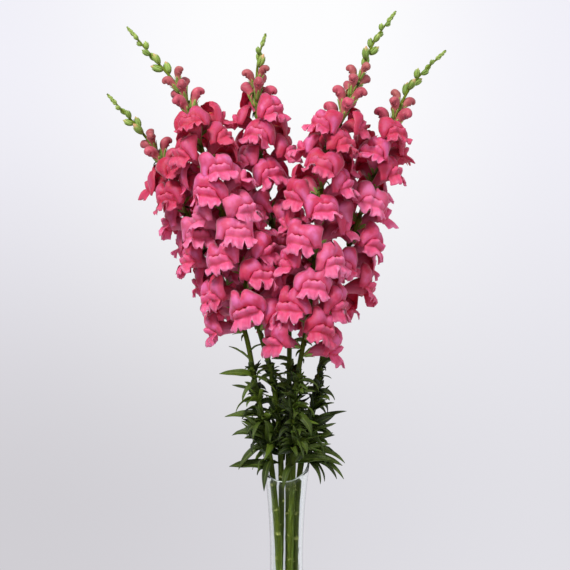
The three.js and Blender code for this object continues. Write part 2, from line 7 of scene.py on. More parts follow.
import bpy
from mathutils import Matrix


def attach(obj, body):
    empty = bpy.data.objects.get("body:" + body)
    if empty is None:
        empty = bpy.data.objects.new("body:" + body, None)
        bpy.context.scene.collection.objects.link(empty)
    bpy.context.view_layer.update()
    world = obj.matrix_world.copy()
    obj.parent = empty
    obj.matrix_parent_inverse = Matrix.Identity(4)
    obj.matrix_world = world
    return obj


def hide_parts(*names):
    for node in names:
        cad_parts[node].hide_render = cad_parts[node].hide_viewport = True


bl_info = {
    "name": "Snapdragon Bunch",
    "version": (1, 0, 0),
    "blender": (4, 5, 0),
    "location": "3D View > Sidebar > Snapdragons",
    "description": "Builds a bunch of cut snapdragons in a glass vase, piece by piece",
    "category": "Object",
}

import math

import bpy
import numpy as np
from mathutils import Vector

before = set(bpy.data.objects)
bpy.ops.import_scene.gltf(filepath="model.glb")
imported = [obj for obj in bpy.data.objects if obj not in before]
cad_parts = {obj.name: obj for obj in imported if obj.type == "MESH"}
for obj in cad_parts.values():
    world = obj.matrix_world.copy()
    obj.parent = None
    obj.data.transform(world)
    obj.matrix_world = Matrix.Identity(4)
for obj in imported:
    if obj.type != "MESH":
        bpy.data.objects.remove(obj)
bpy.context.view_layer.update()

MM = 0.001

# The vase: glass, widest at the foot, narrow at the waist and flared at the mouth.
FOOT_RADIUS = 41
FOOT_EDGE = 4
FLOOR_RADIUS = 29
FLOOR_THICKNESS = 14
INNER_CORNER = 8
WAIST_RADIUS = 18.5
WAIST_HEIGHT = 150
MOUTH_RADIUS = 29
MOUTH_TOP = 316
WALL = 2.3
MOUTH_HEIGHT = 288
MOUTH_SLANT = 0.75
MOUTH_ROLL = 0.1
WATER_HEIGHT = 140
GAP = 0.35

# The plants.
GOLDEN_ANGLE = math.radians(137.508)
STEM_RADII = (3.9, 2.7, 2.0, 0.9)
RING_RADIUS_FLOOR = 13
RING_RADIUS_WAIST = 9
RING_TWIST = 30
CUT_END_HEIGHT = FLOOR_THICKNESS + GAP

# Three values are those of the lowest and of the highest of its kind on a stem, and how far one may stray.
FLORET_PITCH = 9.2
FIRST_FLORET = 3
FLORET_UPRIGHT = 0.6
FLORET_SIZE = (1.02, 0.9, 0.05)
FLORET_TAPER = 4
FLORET_TILT = (-8, 16, 9)
FLORET_ROLL_STRAY = 14

# The buds' pitch along the stem, where their spiral starts, how upright they stand, sizes and widths.
PINK_BUDS = (6.8, 2, 0.3, (22, 13), (5, 3.4))
GREEN_BUDS = (7.4, 1, 0, (12.5, 4), (3.8, 1.7))
FIRST_GREEN_BUD = 5
KNOB_LENGTH = 16
KNOB_RADII = [(0, 0.9), (0.2, 1.6), (0.45, 2.2), (0.85, 1.4), (1, 0.3)]

LEAF_PITCH = 11
LEAF_START = 276
LEAF_END_BELOW_BLOOM = 8
LEAF_PHASE = 0.7
LEAF_PHASE_STRAY = 0.5
LEAF_UPRIGHT = 0.5
LEAF_LENGTH = (36, 26, 0.35)
LEAF_WIDTH = (9.5, 6.5, 0.25)
LEAF_SLOPE_START = (52, 58, 30)
LEAF_SLOPE_END = (-40, -20, 60)
LEAF_SIDEWAYS_STRAY = 0.8
LEAF_ROLL_STRAY = 1

# Each plant: its place in the ring, the lengths along the stem, counted down from the tip, of the green buds,
# the closed pink buds and the open florets, where its spiral starts, in radians, and its route above the
# vase's waist up to the tip. A large leaf is given by its root's length along the stem, the direction that it
# points in seen from above, its length and width, its slopes at its start and end, and its roll.
PLANTS = {
    "far_left": {
        "ring": 223, "green": 65, "pink": 54, "bloom": 190, "phase": 3.54,
        "route": [
            (-16, -5, 280), (-33, 0, 368), (-50, 8, 445), (-109, 12, 560), (-148, 10, 637), (-198, 6, 695),
        ],
        "large_leaves": [
            (374, 180, 39, 8.5, 8, -6, 60), (372, -38, 36, 8, -8, -44, 20), (364, 215, 28, 6, -15, -80, 30),
            (304, 192, 34, 9, 40, 24, 50), (328, 180, 42, 9.5, 6, -10, 40), (297, 160, 30, 10, 58, 30, 60),
            (298, 200, 46, 9, -18, -62, 50), (271, 190, 48, 13, 10, -8, 45), (278, -104, 46, 8, -8, -86, 0),
        ],
    },
    "left": {
        "ring": 151, "green": 76, "pink": 61, "bloom": 235, "phase": 5.77,
        "route": [
            (-6, 8, 280), (-14, -6, 372), (-42, -20, 475), (-79, -22, 590), (-115, -16, 694),
            (-147, -10, 734), (-175, -8, 767),
        ],
        "large_leaves": [(300, 178, 48, 11, 42, 14, 60), (272, 208, 40, 7.5, 20, -80, 20)],
    },
    "middle": {
        "ring": 79, "green": 44.5, "pink": 47.5, "bloom": 240, "phase": 4.4,
        "route": [
            (2, 13, 280), (3, 26, 372), (1, 34, 465), (-25, 30, 600), (-33, 20, 696), (-31, 17, 735),
            (-23, 16, 763),
        ],
        "large_leaves": [(330, 150, 36, 9, 40, -10, 50), (300, 20, 40, 9, 50, 0, -50)],
    },
    "right": {
        "ring": -65, "green": 77, "pink": 73, "bloom": 251, "phase": 0.59,
        "route": [
            (7, -11, 280), (10, -22, 368), (26, -27, 465), (44, -22, 620), (76, -14, 702), (97, -10, 752),
            (120, -9, 784),
        ],
        "large_leaves": [
            (284, 8, 40, 8.5, 52, 36, -60), (276, -14, 46, 10.5, 16, -6, -50), (272, -112, 42, 8, 8, -88, 0),
        ],
    },
    "far_right": {
        "ring": 7, "green": 73, "pink": 46, "bloom": 202, "phase": 1.2,
        "route": [
            (15, 3, 280), (35, 8, 378), (52, 12, 470), (84, 12, 569), (114, 10, 650), (137, 8, 703),
            (176, 6, 743),
        ],
        "large_leaves": [
            (385, 5, 22, 6.5, 42, 20, -60), (314, 2, 48, 7.5, 38, 6, -50), (288, 4, 52, 8.5, 14, -48, -50),
            (282, -8, 56, 8, 2, -58, -50), (292, -20, 34, 7.5, 16, -30, -40), (276, -46, 44, 7.5, 14, -88, 0),
            (280, -16, 50, 8.5, 8, -66, -40), (281, -12, 48, 9, 8, -30, -60), (278, -28, 42, 7, 10, -86, 0),
            (283, -2, 46, 7.5, 8, -70, -30),
        ],
    },
}
SEED_STEP = 40
CHANNEL_STEPS = (0.7548776662, 0.5698402911, 0.8191725134, 0.6710436067, 0.8566748839)
CROWD_REACH = 70
CROWD_PUSH = 0.9
CROWD_SAMPLES = 200
SAME_HEIGHT = 12

# The floret about its stem: x across, y outward, z up. The tube's stations, from its root, are its place
# out and up, its slope in degrees, its half width, and its height above and depth below that place.
TUBE = np.array([
    (4.0, 2.2, 40, 1.9, 1.9, 1.9),
    (9.0, 6.2, 38, 4.3, 4.0, 3.7),
    (14.5, 10.0, 36, 6.2, 5.8, 6.0),
    (20.0, 13.6, 34, 8.0, 8.0, 8.0),
])
# The two-lobed hood beyond the tube, each row from its middle round to its side: the roof of the mouth, its
# front fold, the brow, the crest and the margin, which curls back.
HOOD = np.array([
    [(0, 25, 24.5), (3.5, 25.5, 24.5), (7, 25.5, 22.5), (9.8, 26, 17.5), (10.5, 25, 11)],
    [(0, 31, 16.5), (4.5, 32, 16.5), (8.5, 31, 15.5), (11.5, 28, 12), (12, 25.5, 8.5)],
    [(0, 35, 21), (5, 37.5, 21), (10, 36, 19.5), (15, 32, 14.5), (15.5, 28, 6.5)],
    [(0, 32, 29.5), (6, 34.5, 34.5), (12, 32.5, 32), (17.8, 29, 22.5), (18.5, 26, 8.5)],
    [(0, 26.5, 31), (6.5, 23.5, 36.5), (13, 20.5, 33.5), (19.2, 21.5, 23), (18.5, 22, 7.5)],
])
# The lower lip beyond the tube: its belly, the rise inside the mouth, the top and front of the swollen
# palate, the crease under it, the lip and its margin.
LIP = np.array([
    [(0, 28, 4.5), (4, 27.8, 5), (7.5, 27, 7.5), (9.3, 26, 10.5), (9, 24.5, 13.5)],
    [(0, 30.5, 12), (4, 31.5, 13), (7.5, 31, 13.5), (9, 28.5, 14.5), (9, 26.5, 15)],
    [(0, 34, 20.5), (4, 36.5, 22.5), (8, 35, 21), (10.5, 30, 18), (10.2, 27.5, 16)],
    [(0, 40, 17), (4.5, 44.5, 18.5), (9, 42, 17), (12, 35, 13.5), (11.8, 29.5, 12.5)],
    [(0, 33.5, 9.5), (4.5, 32.5, 10.5), (9, 31.5, 10), (12, 29.5, 10), (12.5, 27.5, 9.5)],
    [(0, 42, 7.5), (4.8, 42.5, 8), (9.5, 40.5, 7.5), (13.5, 36.5, 6.5), (15.5, 32, 6)],
    [(0, 43, -1), (5.2, 44, -0.5), (10.4, 42.5, -1.5), (15.5, 39, -0.5), (18.5, 34, 3.5)],
])


def colour(red, green, blue):
    """A colour given as on a screen, from 0 to 255, in the linear values that materials take."""
    return tuple(((c / 255 + 0.055) / 1.055) ** 2.4 for c in (red, green, blue))


def mix(a, b, share):
    return a + (b - a) * share


def vary(seed, channel, amount):
    """Numbers that look random and are the same every time, from -amount to amount."""
    share = ((seed + 1) * CHANNEL_STEPS[channel] + 0.5) % 1
    return (2 * share - 1) * amount


def strayed(limits, share, seed, channel):
    low, high, stray = limits
    return mix(low, high, share) + vary(seed, channel, stray)


def scaled(limits, share, seed, channel):
    low, high, stray = limits
    return mix(low, high, share) * (1 + vary(seed, channel, stray))


def about(limits, drawn):
    middle, stray = limits
    return middle + stray * drawn


def draws(seed, shape):
    """Seeded numbers from -1 to 1."""
    return np.random.default_rng(seed).uniform(-1, 1, shape)


def smooth(low, high, value):
    """0 below low, 1 above high, and a smooth step between. With low above high it falls instead."""
    s = np.clip((value - low) / (high - low), 0, 1)
    return s * s * (3 - 2 * s)


def bump(value, centre, width):
    """1 at the centre, falling off as a bell."""
    return np.exp(-(((value - centre) / width) ** 2))


def circle(sides):
    """Turns round a circle, without the last one, which is the first again."""
    return np.linspace(0, 2 * math.pi, sides, endpoint=False)


def unit(vectors):
    return vectors / np.maximum(np.linalg.norm(vectors, axis=-1, keepdims=True), 1e-12)


def level_directions(turns):
    return np.stack([np.cos(turns), np.sin(turns), 0 * turns], -1)


def between(first, second, turns):
    """Directions at turns from the first to the second of two that are square to each other."""
    return first * np.cos(turns)[..., None] + second * np.sin(turns)[..., None]


def spline_weights(places, count):
    """Weights of count control points at places from 0 to 1, by the uniform cubic B-spline. A phantom point
    mirrored past each end makes the curve start on the first point and end on the last."""
    place = np.clip(places, 0, 1) * (count - 1)
    first = np.minimum(place.astype(int), count - 2)
    s = place - first
    shares = [(1 - s) ** 3, 3 * s**3 - 6 * s**2 + 4, -3 * s**3 + 3 * s**2 + 3 * s + 1, s**3]
    padded = np.zeros(place.shape + (count + 2,))
    for k, share in enumerate(shares):
        np.put_along_axis(padded, (first + k)[..., None], share[..., None] / 6, -1)
    weights = padded[..., 1:-1].copy()
    for end, beside, phantom in ((0, 1, 0), (-1, -2, -1)):
        weights[..., end] += 2 * padded[..., phantom]
        weights[..., beside] -= padded[..., phantom]
    return weights


def net_surface(net, along, across):
    """The B-spline surface of a net of control points, at places along and across it from 0 to 1."""
    rows = spline_weights(along, net.shape[0])
    columns = spline_weights(across, net.shape[1])
    return np.einsum("...k,...l,klc->...c", rows, columns, net)


def normals_of(grids):
    """The unit normals of grids of points: the cross product of the steps down and across each grid."""
    return unit(np.cross(np.gradient(grids, axis=-3), np.gradient(grids, axis=-2)))


def traits(first, second=0, third=0, tone=0):
    """A row of values for each point. What they mean is said where a material reads them."""
    return np.stack(np.broadcast_arrays(first, second, third, tone), -1).astype(float)


def linked(name, data):
    """A new object in the scene."""
    made = bpy.data.objects.new(name, data)
    bpy.context.scene.collection.objects.link(made)
    return made


class Piece:
    """One piece in the making: points with a row of values each, and faces with their material's number."""

    def __init__(self, name, slot, materials, replaces):
        self.name = name
        self.slot = slot
        self.materials = materials
        self.replaces = replaces
        self.points = []
        self.values = []
        self.faces = []
        self.finish = []
        self.count = 0

    def add(self, points, faces, values, material):
        """Each array in faces has one number of corners."""
        self.points.append(points)
        self.values.append(values)
        for group in faces:
            self.faces += (group + self.count).tolist()
            self.finish += [material] * len(group)
        self.count += len(points)

    def add_shells(self, grids, thick, values, material=0):
        """Thin sheets: each grid (rows, columns) is set off to both sides along its normals by half its
        thickness, and a rim joins the two sides. The front is where down x across points."""
        count, rows, columns = grids.shape[:3]
        half = normals_of(grids) * (np.broadcast_to(thick, grids.shape[:3]) / 2)[..., None]
        points = np.stack([grids + half, grids - half], 1).reshape(-1, 3)
        number = np.arange(rows * columns).reshape(rows, columns)
        here, below = number[:-1], number[1:]
        front = np.stack([here[:, :-1], below[:, :-1], below[:, 1:], here[:, 1:]], -1).reshape(-1, 4)
        edge = np.concatenate([number[0, :-1], number[:-1, -1], number[-1, :0:-1], number[:0:-1, 0]])
        after = np.roll(edge, -1)
        area = rows * columns
        rim = np.stack([edge, after, after + area, edge + area], -1)
        faces = np.concatenate([front, front[:, ::-1] + area, rim])
        faces = (faces + 2 * area * np.arange(count)[:, None, None]).reshape(-1, 4)
        values = np.broadcast_to(values, grids.shape[:3] + (4,))
        self.add(points, [faces], np.stack([values, values], 1).reshape(-1, 4), material)

    def add_skins(self, grids, values, material=0):
        """Closed bodies: the columns of each grid (rings, sides) go round it and flat caps close its ends."""
        count, rings, sides = grids.shape[:3]
        number = np.arange(rings * sides).reshape(rings, sides)
        after = np.roll(number, -1, 1)
        walls = np.stack([number[:-1], after[:-1], after[1:], number[1:]], -1).reshape(-1, 4)
        step = rings * sides * np.arange(count)[:, None, None]
        caps = np.stack([number[0, ::-1], number[-1]])
        faces = [(walls + step).reshape(-1, 4), (caps + step).reshape(-1, sides)]
        values = np.broadcast_to(values, grids.shape[:3] + (4,)).reshape(-1, 4)
        self.add(grids.reshape(-1, 3), faces, values, material)

    def build(self):
        """Makes the object, in metres at the origin, and hands it to the frame."""
        mesh = bpy.data.meshes.new(self.name)
        mesh.from_pydata(np.concatenate(self.points) * MM, [], self.faces)
        mesh.polygons.foreach_set("material_index", self.finish)
        mesh.shade_smooth()
        values = mesh.attributes.new("traits", "FLOAT_COLOR", "POINT")
        values.data.foreach_set("color", np.concatenate(self.values).astype(np.float32).ravel())
        for material in self.materials:
            mesh.materials.append(material)
        piece = linked(self.name, mesh)
        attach(piece, "root")
        if self.replaces:
            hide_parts(*self.replaces)
        return piece


class Plant:
    """A stem's line, and the frames along it that flowers, buds and leaves grow from."""

    DIVISIONS = 400
    TANGENT_STEP = 1e-4
    RING_REFERENCE = np.array((0.31, 0.95, 0.02))

    def __init__(self, number, name, ring, green, pink, bloom, phase, route, large_leaves):
        self.name = name
        self.phase = phase
        self.large_leaves = np.array(large_leaves, float)
        self.seed = number * SEED_STEP
        floor, waist = (level_directions(math.radians(angle)) for angle in (ring + RING_TWIST, ring))
        self.corners = np.array([
            floor * RING_RADIUS_FLOOR + (0, 0, CUT_END_HEIGHT),
            waist * RING_RADIUS_WAIST + (0, 0, WAIST_HEIGHT),
            *route,
        ])
        self.places = np.linspace(0, 1, self.DIVISIONS + 1)
        steps = np.linalg.norm(np.diff(self.curve(self.places), axis=0), axis=1)
        self.lengths = np.concatenate([[0], np.cumsum(steps)])
        self.length = self.lengths[-1]
        self.green = green
        self.pink = pink
        self.bloom = bloom
        self.bloom_end = self.length - green - pink
        self.bloom_start = self.bloom_end - bloom
        self.samples = self.point_at(np.linspace(0, self.length, CROWD_SAMPLES + 1))

    def curve(self, places):
        """The centripetal Catmull-Rom curve through the corners, at places from 0 to 1: on each stretch a
        cubic whose knots are spaced by the square root of the corners' distances."""
        c = self.corners
        c = np.concatenate([[2 * c[0] - c[1]], c, [2 * c[-1] - c[-2]]])
        place = places * (len(self.corners) - 1)
        i = np.minimum(place.astype(int), len(self.corners) - 2)
        t = (place - i)[:, None]
        points = [c[i + k] for k in range(4)]
        p0, p1, p2, p3 = points
        d0, d1, d2 = (np.sqrt(np.linalg.norm(b - a, axis=1))[:, None] for a, b in zip(points, points[1:]))
        start = ((p1 - p0) / d0 - (p2 - p0) / (d0 + d1) + (p2 - p1) / d1) * d1
        end = ((p2 - p1) / d1 - (p3 - p1) / (d1 + d2) + (p3 - p2) / d2) * d1
        square = -3 * p1 + 3 * p2 - 2 * start - end
        cube = 2 * p1 - 2 * p2 + start + end
        return p1 + start * t + square * t**2 + cube * t**3

    def place_of(self, lengths):
        return np.interp(lengths, self.lengths, self.places)

    def point_at(self, lengths):
        return self.curve(self.place_of(lengths))

    def along(self, lengths):
        """The stem's direction: the step between two close points."""
        place = self.place_of(lengths)
        low = np.maximum(place - self.TANGENT_STEP, 0)
        high = np.minimum(place + self.TANGENT_STEP, 1)
        return unit(self.curve(high) - self.curve(low))

    def sides(self, lengths):
        """The stem's directions, and two more that are square to each."""
        along = self.along(lengths)
        side = unit(np.cross(along, self.RING_REFERENCE))
        return along, side, np.cross(along, side)

    def radius(self, lengths):
        return np.interp(lengths, (0, self.bloom_start, self.bloom_end, self.length), STEM_RADII)

    def clear_of_others(self, places, outward):
        """Directions turned away from the other stems at their height, as crowded flowers turn."""
        for other in (plant for plant in BUNCH if plant is not self):
            nearest = np.abs(places[:, None, 2] - other.samples[None, :, 2]).argmin(1)
            away = places - other.samples[nearest]
            level = np.abs(away[:, 2]) < SAME_HEIGHT
            away[:, 2] = 0
            distance = np.linalg.norm(away, axis=1)
            push = CROWD_PUSH * (1 - distance / CROWD_REACH) * (level & (distance < CROWD_REACH))
            outward = outward + unit(away) * push[:, None]
        return outward

    def frames(self, lengths, turns, upright):
        """Places on the stem and a frame's three directions at each: across, outward and up."""
        places = self.point_at(lengths)
        outward = self.clear_of_others(places, level_directions(turns))
        up = unit(mix(self.along(lengths), np.array((0, 0, 1)), upright))
        outward = unit(outward - up * (outward * up).sum(-1, keepdims=True))
        return places, np.stack([unit(np.cross(outward, up)), outward, up], -1)

    def rings(self, lengths, radii, sides):
        """Rings of points square to the stem, with one radius for each, or one for each of its sides."""
        _, side, other = self.sides(lengths)
        offset = between(side[:, None], other[:, None], circle(sides))
        return self.point_at(lengths)[:, None] + offset * radii.reshape(len(lengths), -1, 1)


BUNCH = [Plant(number, name, **facts) for number, (name, facts) in enumerate(PLANTS.items())]


def placed(points, places, axes):
    """Points of bodies (n, ..., 3) in their frames, moved to the bunch's own frame."""
    spread = (len(points),) + (1,) * (points.ndim - 2) + (3,)
    return np.einsum("nij,n...j->n...i", axes, points) + places.reshape(spread)


def turned(axes, axis, degrees):
    """Frames turned about one of their own axes: 0 for across, 1 for outward and 2 for up."""
    angle = np.radians(degrees)
    first, second = (axis + 1) % 3, (axis + 2) % 3
    turn = np.zeros(angle.shape + (3, 3))
    turn[..., axis, axis] = 1
    turn[..., first, first] = turn[..., second, second] = np.cos(angle)
    turn[..., second, first] = np.sin(angle)
    turn[..., first, second] = -np.sin(angle)
    return axes @ turn


# Petals. Both petals of a floret are nets that run from the tube's root (0) to a free margin (1), and across
# from -1 to 1. A wave across a petal is its height in millimetres, or for nicks as a share of the petal's
# length, its rate, how far a floret's own draw shifts it, and the number of that draw. A pair is where a
# form starts and is whole, or the middle and the half width of a bell.
PETAL_SIDES = 5
HOOD_GRID = (17, 25)
LIP_GRID = (22, 31)
FREE_FROM = 0.72
FRILL_FROM = 0.86
NOTCH_WIDTH = 0.07

HOOD_NOTCH = (0.12, 0.048)
HOOD_NICKS = [(0.014, 15, 5, 1)]
HOOD_WAVES = [(2.4, 5, 6, 2), (1.1, 11, 6, 3)]
HOOD_FRILL = [(0.8, 17, 6, 5)]
HOOD_DENTS = [(0.7, 8, 5, 4)]
HOOD_DENTS_SLANT = 4
HOOD_DENTS_FROM = (0.5, 0.7)
HOOD_GROOVE = 0.9
HOOD_GROOVE_FROM = (0.45, 0.6)

LIP_FOLD = (1, 0.5)
LIP_FOLD_AT = 0.32
LIP_FOLD_STRAY = 0.04
LIP_FOLD_DEPTH = 1.6
LIP_NOTCH = 0.08
LIP_NICKS = [(0.02, 13, 5, 2), (0.013, 27, 5, 3)]
LIP_WAVES = [(2.4, 4.5, 6, 4), (1.2, 11, 6, 5)]
LIP_FRILL = [(1, 20, 6, 0)]
PLEAT_HEIGHT = 0.16
PLEAT_RATE = 21
PLEATS_FROM = (0.74, 0.84)
KNUCKLE_RATE = 16
KNUCKLES = (0.65, 0.07)
KNUCKLE_ENDS = (0.8, 0.4)
PALATE = (0.69, 0.08)
PALATE_RISE = 1.2
PALATE_TOP = (0, 0.3)
FLANK_DEPTH = 1.8
FLANKS = (0.66, 0.14)
CREASE = (0.8, 0.035)

WARP = 1.3
WARP_WAVES = 0.13
WARP_TURN = 3
WARP_FROM = (0, 30)
FULLNESS = 1.02
FLORET_TONE = (0.25, 0.55)
HIGH_DULLNESS = 1.1
# Painted shade: how much darker the lowest florets are made, since less light reaches them.
LOW_PAINTED_SHADE = 0.6
MARGIN_THINNESS = 0.6


def tube_rows(side):
    """Half rings of the tube, from the middle of its upper (1) or lower (-1) side round to its flank."""
    out, up, slope, wide, high, deep = TUBE.T[:, :, None]
    turn = np.linspace(0, math.pi / 2, PETAL_SIDES)[None]
    slope = np.radians(slope)
    reach = np.where(side > 0, high, deep) * np.cos(turn) * side
    return np.stack([wide * np.sin(turn), out - np.sin(slope) * reach, up + np.cos(slope) * reach], -1)


def mirrored(half):
    return np.concatenate([half[:, :0:-1] * (-1, 1, 1), half], 1)


HOOD_NET = mirrored(np.concatenate([tube_rows(1), HOOD]))
LIP_NET = mirrored(np.concatenate([tube_rows(-1), LIP]))


def petal_places(grid, drawn):
    """Places along and across a petal, and each floret's draws, shaped to go together."""
    along = np.linspace(0, 1, grid[0])[None, :, None]
    across = np.linspace(-1, 1, grid[1])[None, None, :]
    return along, across, np.moveaxis(drawn, -1, 0)[..., None, None]


def waves(kinds, across, drawn, start=0):
    """The sum of height x sin(rate x across + shift x draw + start)."""
    return sum(height * np.sin(rate * across + shift * drawn[k] + start) for height, rate, shift, k in kinds)


def ruffled(net, along, across, cut, wave, relief):
    """The net's surface, its margin drawn back by cut, a share of the petal's length, and then moved along
    its normals by relief and by wave. Cut and wave grow from nothing where the petal becomes free."""
    free = smooth(FREE_FROM, 1, along)
    grids = net_surface(net, along * (1 - cut * free), np.broadcast_to((across + 1) / 2, (cut * along).shape))
    return grids + normals_of(grids) * (wave * free + relief)[..., None]


def hoods(drawn, ruffle):
    """The hood: one notch between its two lobes, small nicks, slow and quick waves of the margin, shallow
    dents, and a groove down its middle."""
    v, u, d = petal_places(HOOD_GRID, drawn)
    middle = bump(u, 0, NOTCH_WIDTH)
    cut = about(HOOD_NOTCH, d[0]) * middle + waves(HOOD_NICKS, u, d, math.pi / 2)
    wave = waves(HOOD_WAVES, u, d) + waves(HOOD_FRILL, u, d) * smooth(FRILL_FROM, 1, v)
    dents = waves(HOOD_DENTS, u, d, HOOD_DENTS_SLANT * v) * smooth(*HOOD_DENTS_FROM, v)
    groove = HOOD_GROOVE * middle * smooth(*HOOD_GROOVE_FROM, v)
    return ruffled(HOOD_NET, v, u, cut, ruffle * wave, dents - groove), v, u


def lips(drawn, ruffle):
    """The lower lip: folds and notches part its middle lobe from the outer ones, which nick and wave more.
    Its palate swells between two hollow flanks, with knuckles on top, and a crease and pleats follow it."""
    v, u, d = petal_places(LIP_GRID, drawn)
    folds = sum(
        bump(u, side * LIP_FOLD_AT + LIP_FOLD_STRAY * d[k + 2], NOTCH_WIDTH) * about(LIP_FOLD, d[k])
        for k, side in enumerate((1, -1))
    )
    cut = LIP_NOTCH * folds + waves(LIP_NICKS, u, d, math.pi / 2)
    frill = waves(LIP_FRILL, u, d) * smooth(FRILL_FROM, 1, v)
    wave = waves(LIP_WAVES, u, d) - LIP_FOLD_DEPTH * folds + frill
    palate = (PALATE_RISE * bump(u, *PALATE_TOP) - FLANK_DEPTH * bump(abs(u), *FLANKS)) * bump(v, *PALATE)
    knuckles = np.cos(KNUCKLE_RATE * u) * bump(v, *KNUCKLES) * smooth(*KNUCKLE_ENDS, abs(u))
    pleats = PLEAT_HEIGHT * np.cos(PLEAT_RATE * u + 3 * np.sin(4 * u + 5 * d[3])) * smooth(*PLEATS_FROM, v)
    relief = palate + pleats - knuckles - bump(v, *CREASE)
    return ruffled(LIP_NET, v, u, cut, ruffle * wave, relief), v, u


def warped(grids, drawn):
    """Florets bent each in its own way: each coordinate is moved by a slow wave of the next one, more and
    more away from the root."""
    free = smooth(*WARP_FROM, grids[..., 1:2])
    phase = WARP_TURN * drawn[:, None, None, :3]
    return grids + WARP * free * np.sin(np.roll(grids, -1, -1) * WARP_WAVES + phase)


def floret_frames(plant):
    """Where a plant's open florets sit, the lowest first: places, axes, sizes and shares of the way up."""
    count = int(plant.bloom // FLORET_PITCH)
    n = np.arange(count)
    share = n / (count - 1)
    seed = plant.seed + n
    lengths = plant.bloom_start + FIRST_FLORET + n * FLORET_PITCH
    places, axes = plant.frames(lengths, plant.phase + n * GOLDEN_ANGLE, FLORET_UPRIGHT)
    axes = turned(axes, 0, strayed(FLORET_TILT, share, seed, 1))
    axes = turned(axes, 1, vary(seed, 2, FLORET_ROLL_STRAY))
    return places, axes, scaled(FLORET_SIZE, share**FLORET_TAPER, seed, 0), share


def add_florets(piece, plant, settings):
    """Both petals of each open floret. The highest florets are duller, and the lowest are darkened with
    painted shade, since less light reaches the bottom of the bunch.
    """
    places, axes, size, share = floret_frames(plant)
    drawn = draws(plant.seed, (2, len(size), 6))
    dullness_and_painted_shade = HIGH_DULLNESS * smooth(0.55, 1, share) + LOW_PAINTED_SHADE * smooth(0.4, 0, share)
    tone = (about(FLORET_TONE, drawn[0, :, 5]) - dullness_and_painted_shade)[:, None, None]
    for lip, shape in enumerate((hoods, lips)):
        grids, v, u = shape(drawn[lip], settings.ruffle)
        grids = placed(warped(grids, drawn[0]) * FULLNESS * size[:, None, None, None], places, axes)
        thick = settings.thickness / MM * mix(1, MARGIN_THINNESS, v)
        piece.add_shells(grids, thick, traits(v, u, lip, tone))


# Round bodies in a plant's frame, such as buds. A station is a place out and up and a radius, as shares of
# the body's size and width.
PINK_BUD = np.array([
    (0.1, 0.12, 0.4), (0.2, 0.4, 0.68), (0.29, 0.68, 0.74), (0.38, 0.9, 0.9), (0.48, 1.08, 1.24),
    (0.64, 1.22, 1.38), (0.82, 1.22, 1.2), (0.94, 1.1, 0.8), (0.96, 1.02, 0.1),
])
GREEN_BUD = np.array([(0.12, 0.14, 0.4), (0.36, 0.46, 1.08), (0.56, 0.94, 0.9), (0.74, 1.27, 0.06)])
KNOB_BUD = np.array([(0.1, 0, 0.5), (0.34, 0.4, 1.1), (0.42, 0.8, 0.8), (0.4, 1.2, 0.06)])
# The calyx of an open floret sits on the tube's root, and a stalk joins it to the stem.
CALYX = np.array([(3.2, 1.6, 1.7), (6, 3.8, 2.7), (9, 6.2, 3.9), (12, 8.3, 4.9)])
FLORET_STALK = np.array([(0, -0.8, 1.2), (1.6, 0.3, 1), (3.4, 1.8, 1.7)])
BUD_STALK = np.array([(0, -1, 0.9), (0.5, 0.2, 0.72), (1, 1, 0.9)])
# How the sepals cover a body: up to a share of its length, half their width in radians, and how far their
# tips stand off it.
SEPALS_ON = {"floret": (0.85, 0.6, 1.2), "pink_bud": (0.36, 0.56, 0.9), "green_bud": (0.8, 0.62, 0.5)}
SEPALS = 5
SEPAL_GRID = (5, 4)
SEPAL_START = 0.3
SEPAL_LIFT = 0.35
BUD_GRID = (13, 12)
PINK_BUD_GRID = (20, 16)
STALK_GRID = (4, 7)
KNOB_RINGS = 11
KNOB_SIDES = 10
KNOB_CORE = 0.7
KNOB_TONE = 0.2
KNOB_BUDS = 16
KNOB_BUD_GRID = (7, 8)
KNOB_BUD_SIZE = (4.6, 2.8)
KNOB_BUD_WIDTH = 0.3
SLOPE_STEP = 0.02
# The closed flowers' heads, with their shut mouths, and the waves of their folds.
CLOSED_HEAD = (0.5, 0.7)
CLOSED_MOUTH = (0.8, 0.035)
CLOSED_MOUTH_ENDS = (-0.5, 0.3)
CLOSED_FOLDS = [(0.1, 3, 3, 1), (0.05, 5, 3, 2)]


def round_body(stations, share, turn, lift=0):
    """Points of round bodies, one for each set of stations (n, k, 3): a circle carried along the spline of
    the stations, at shares of the way along and turns about it. lift is added to the circle's radius."""
    weights = spline_weights(share, stations.shape[1])
    ahead = spline_weights(np.minimum(share + SLOPE_STEP, 1), stations.shape[1])
    behind = spline_weights(np.maximum(share - SLOPE_STEP, 0), stations.shape[1])
    out, up, radius = np.moveaxis(np.einsum("...k,nkc->n...c", weights, stations), -1, 0)
    step = unit(np.einsum("...k,nkc->n...c", ahead - behind, stations[..., :2]))
    radius = radius + lift
    over = radius * np.sin(turn)
    return np.stack([radius * np.cos(turn), out + step[..., 1] * over, up - step[..., 0] * over], -1)


def whole_body(stations, grid):
    share = np.broadcast_to(np.linspace(0, 1, grid[0])[:, None], grid)
    return round_body(stations, share, circle(grid[1])[None]), share


def add_bodies(piece, stations, places, axes, grid=BUD_GRID, age=0.5, tone=0):
    grids, share = whole_body(stations, grid)
    piece.add_skins(placed(grids, places, axes), traits(share, 0, age, tone))


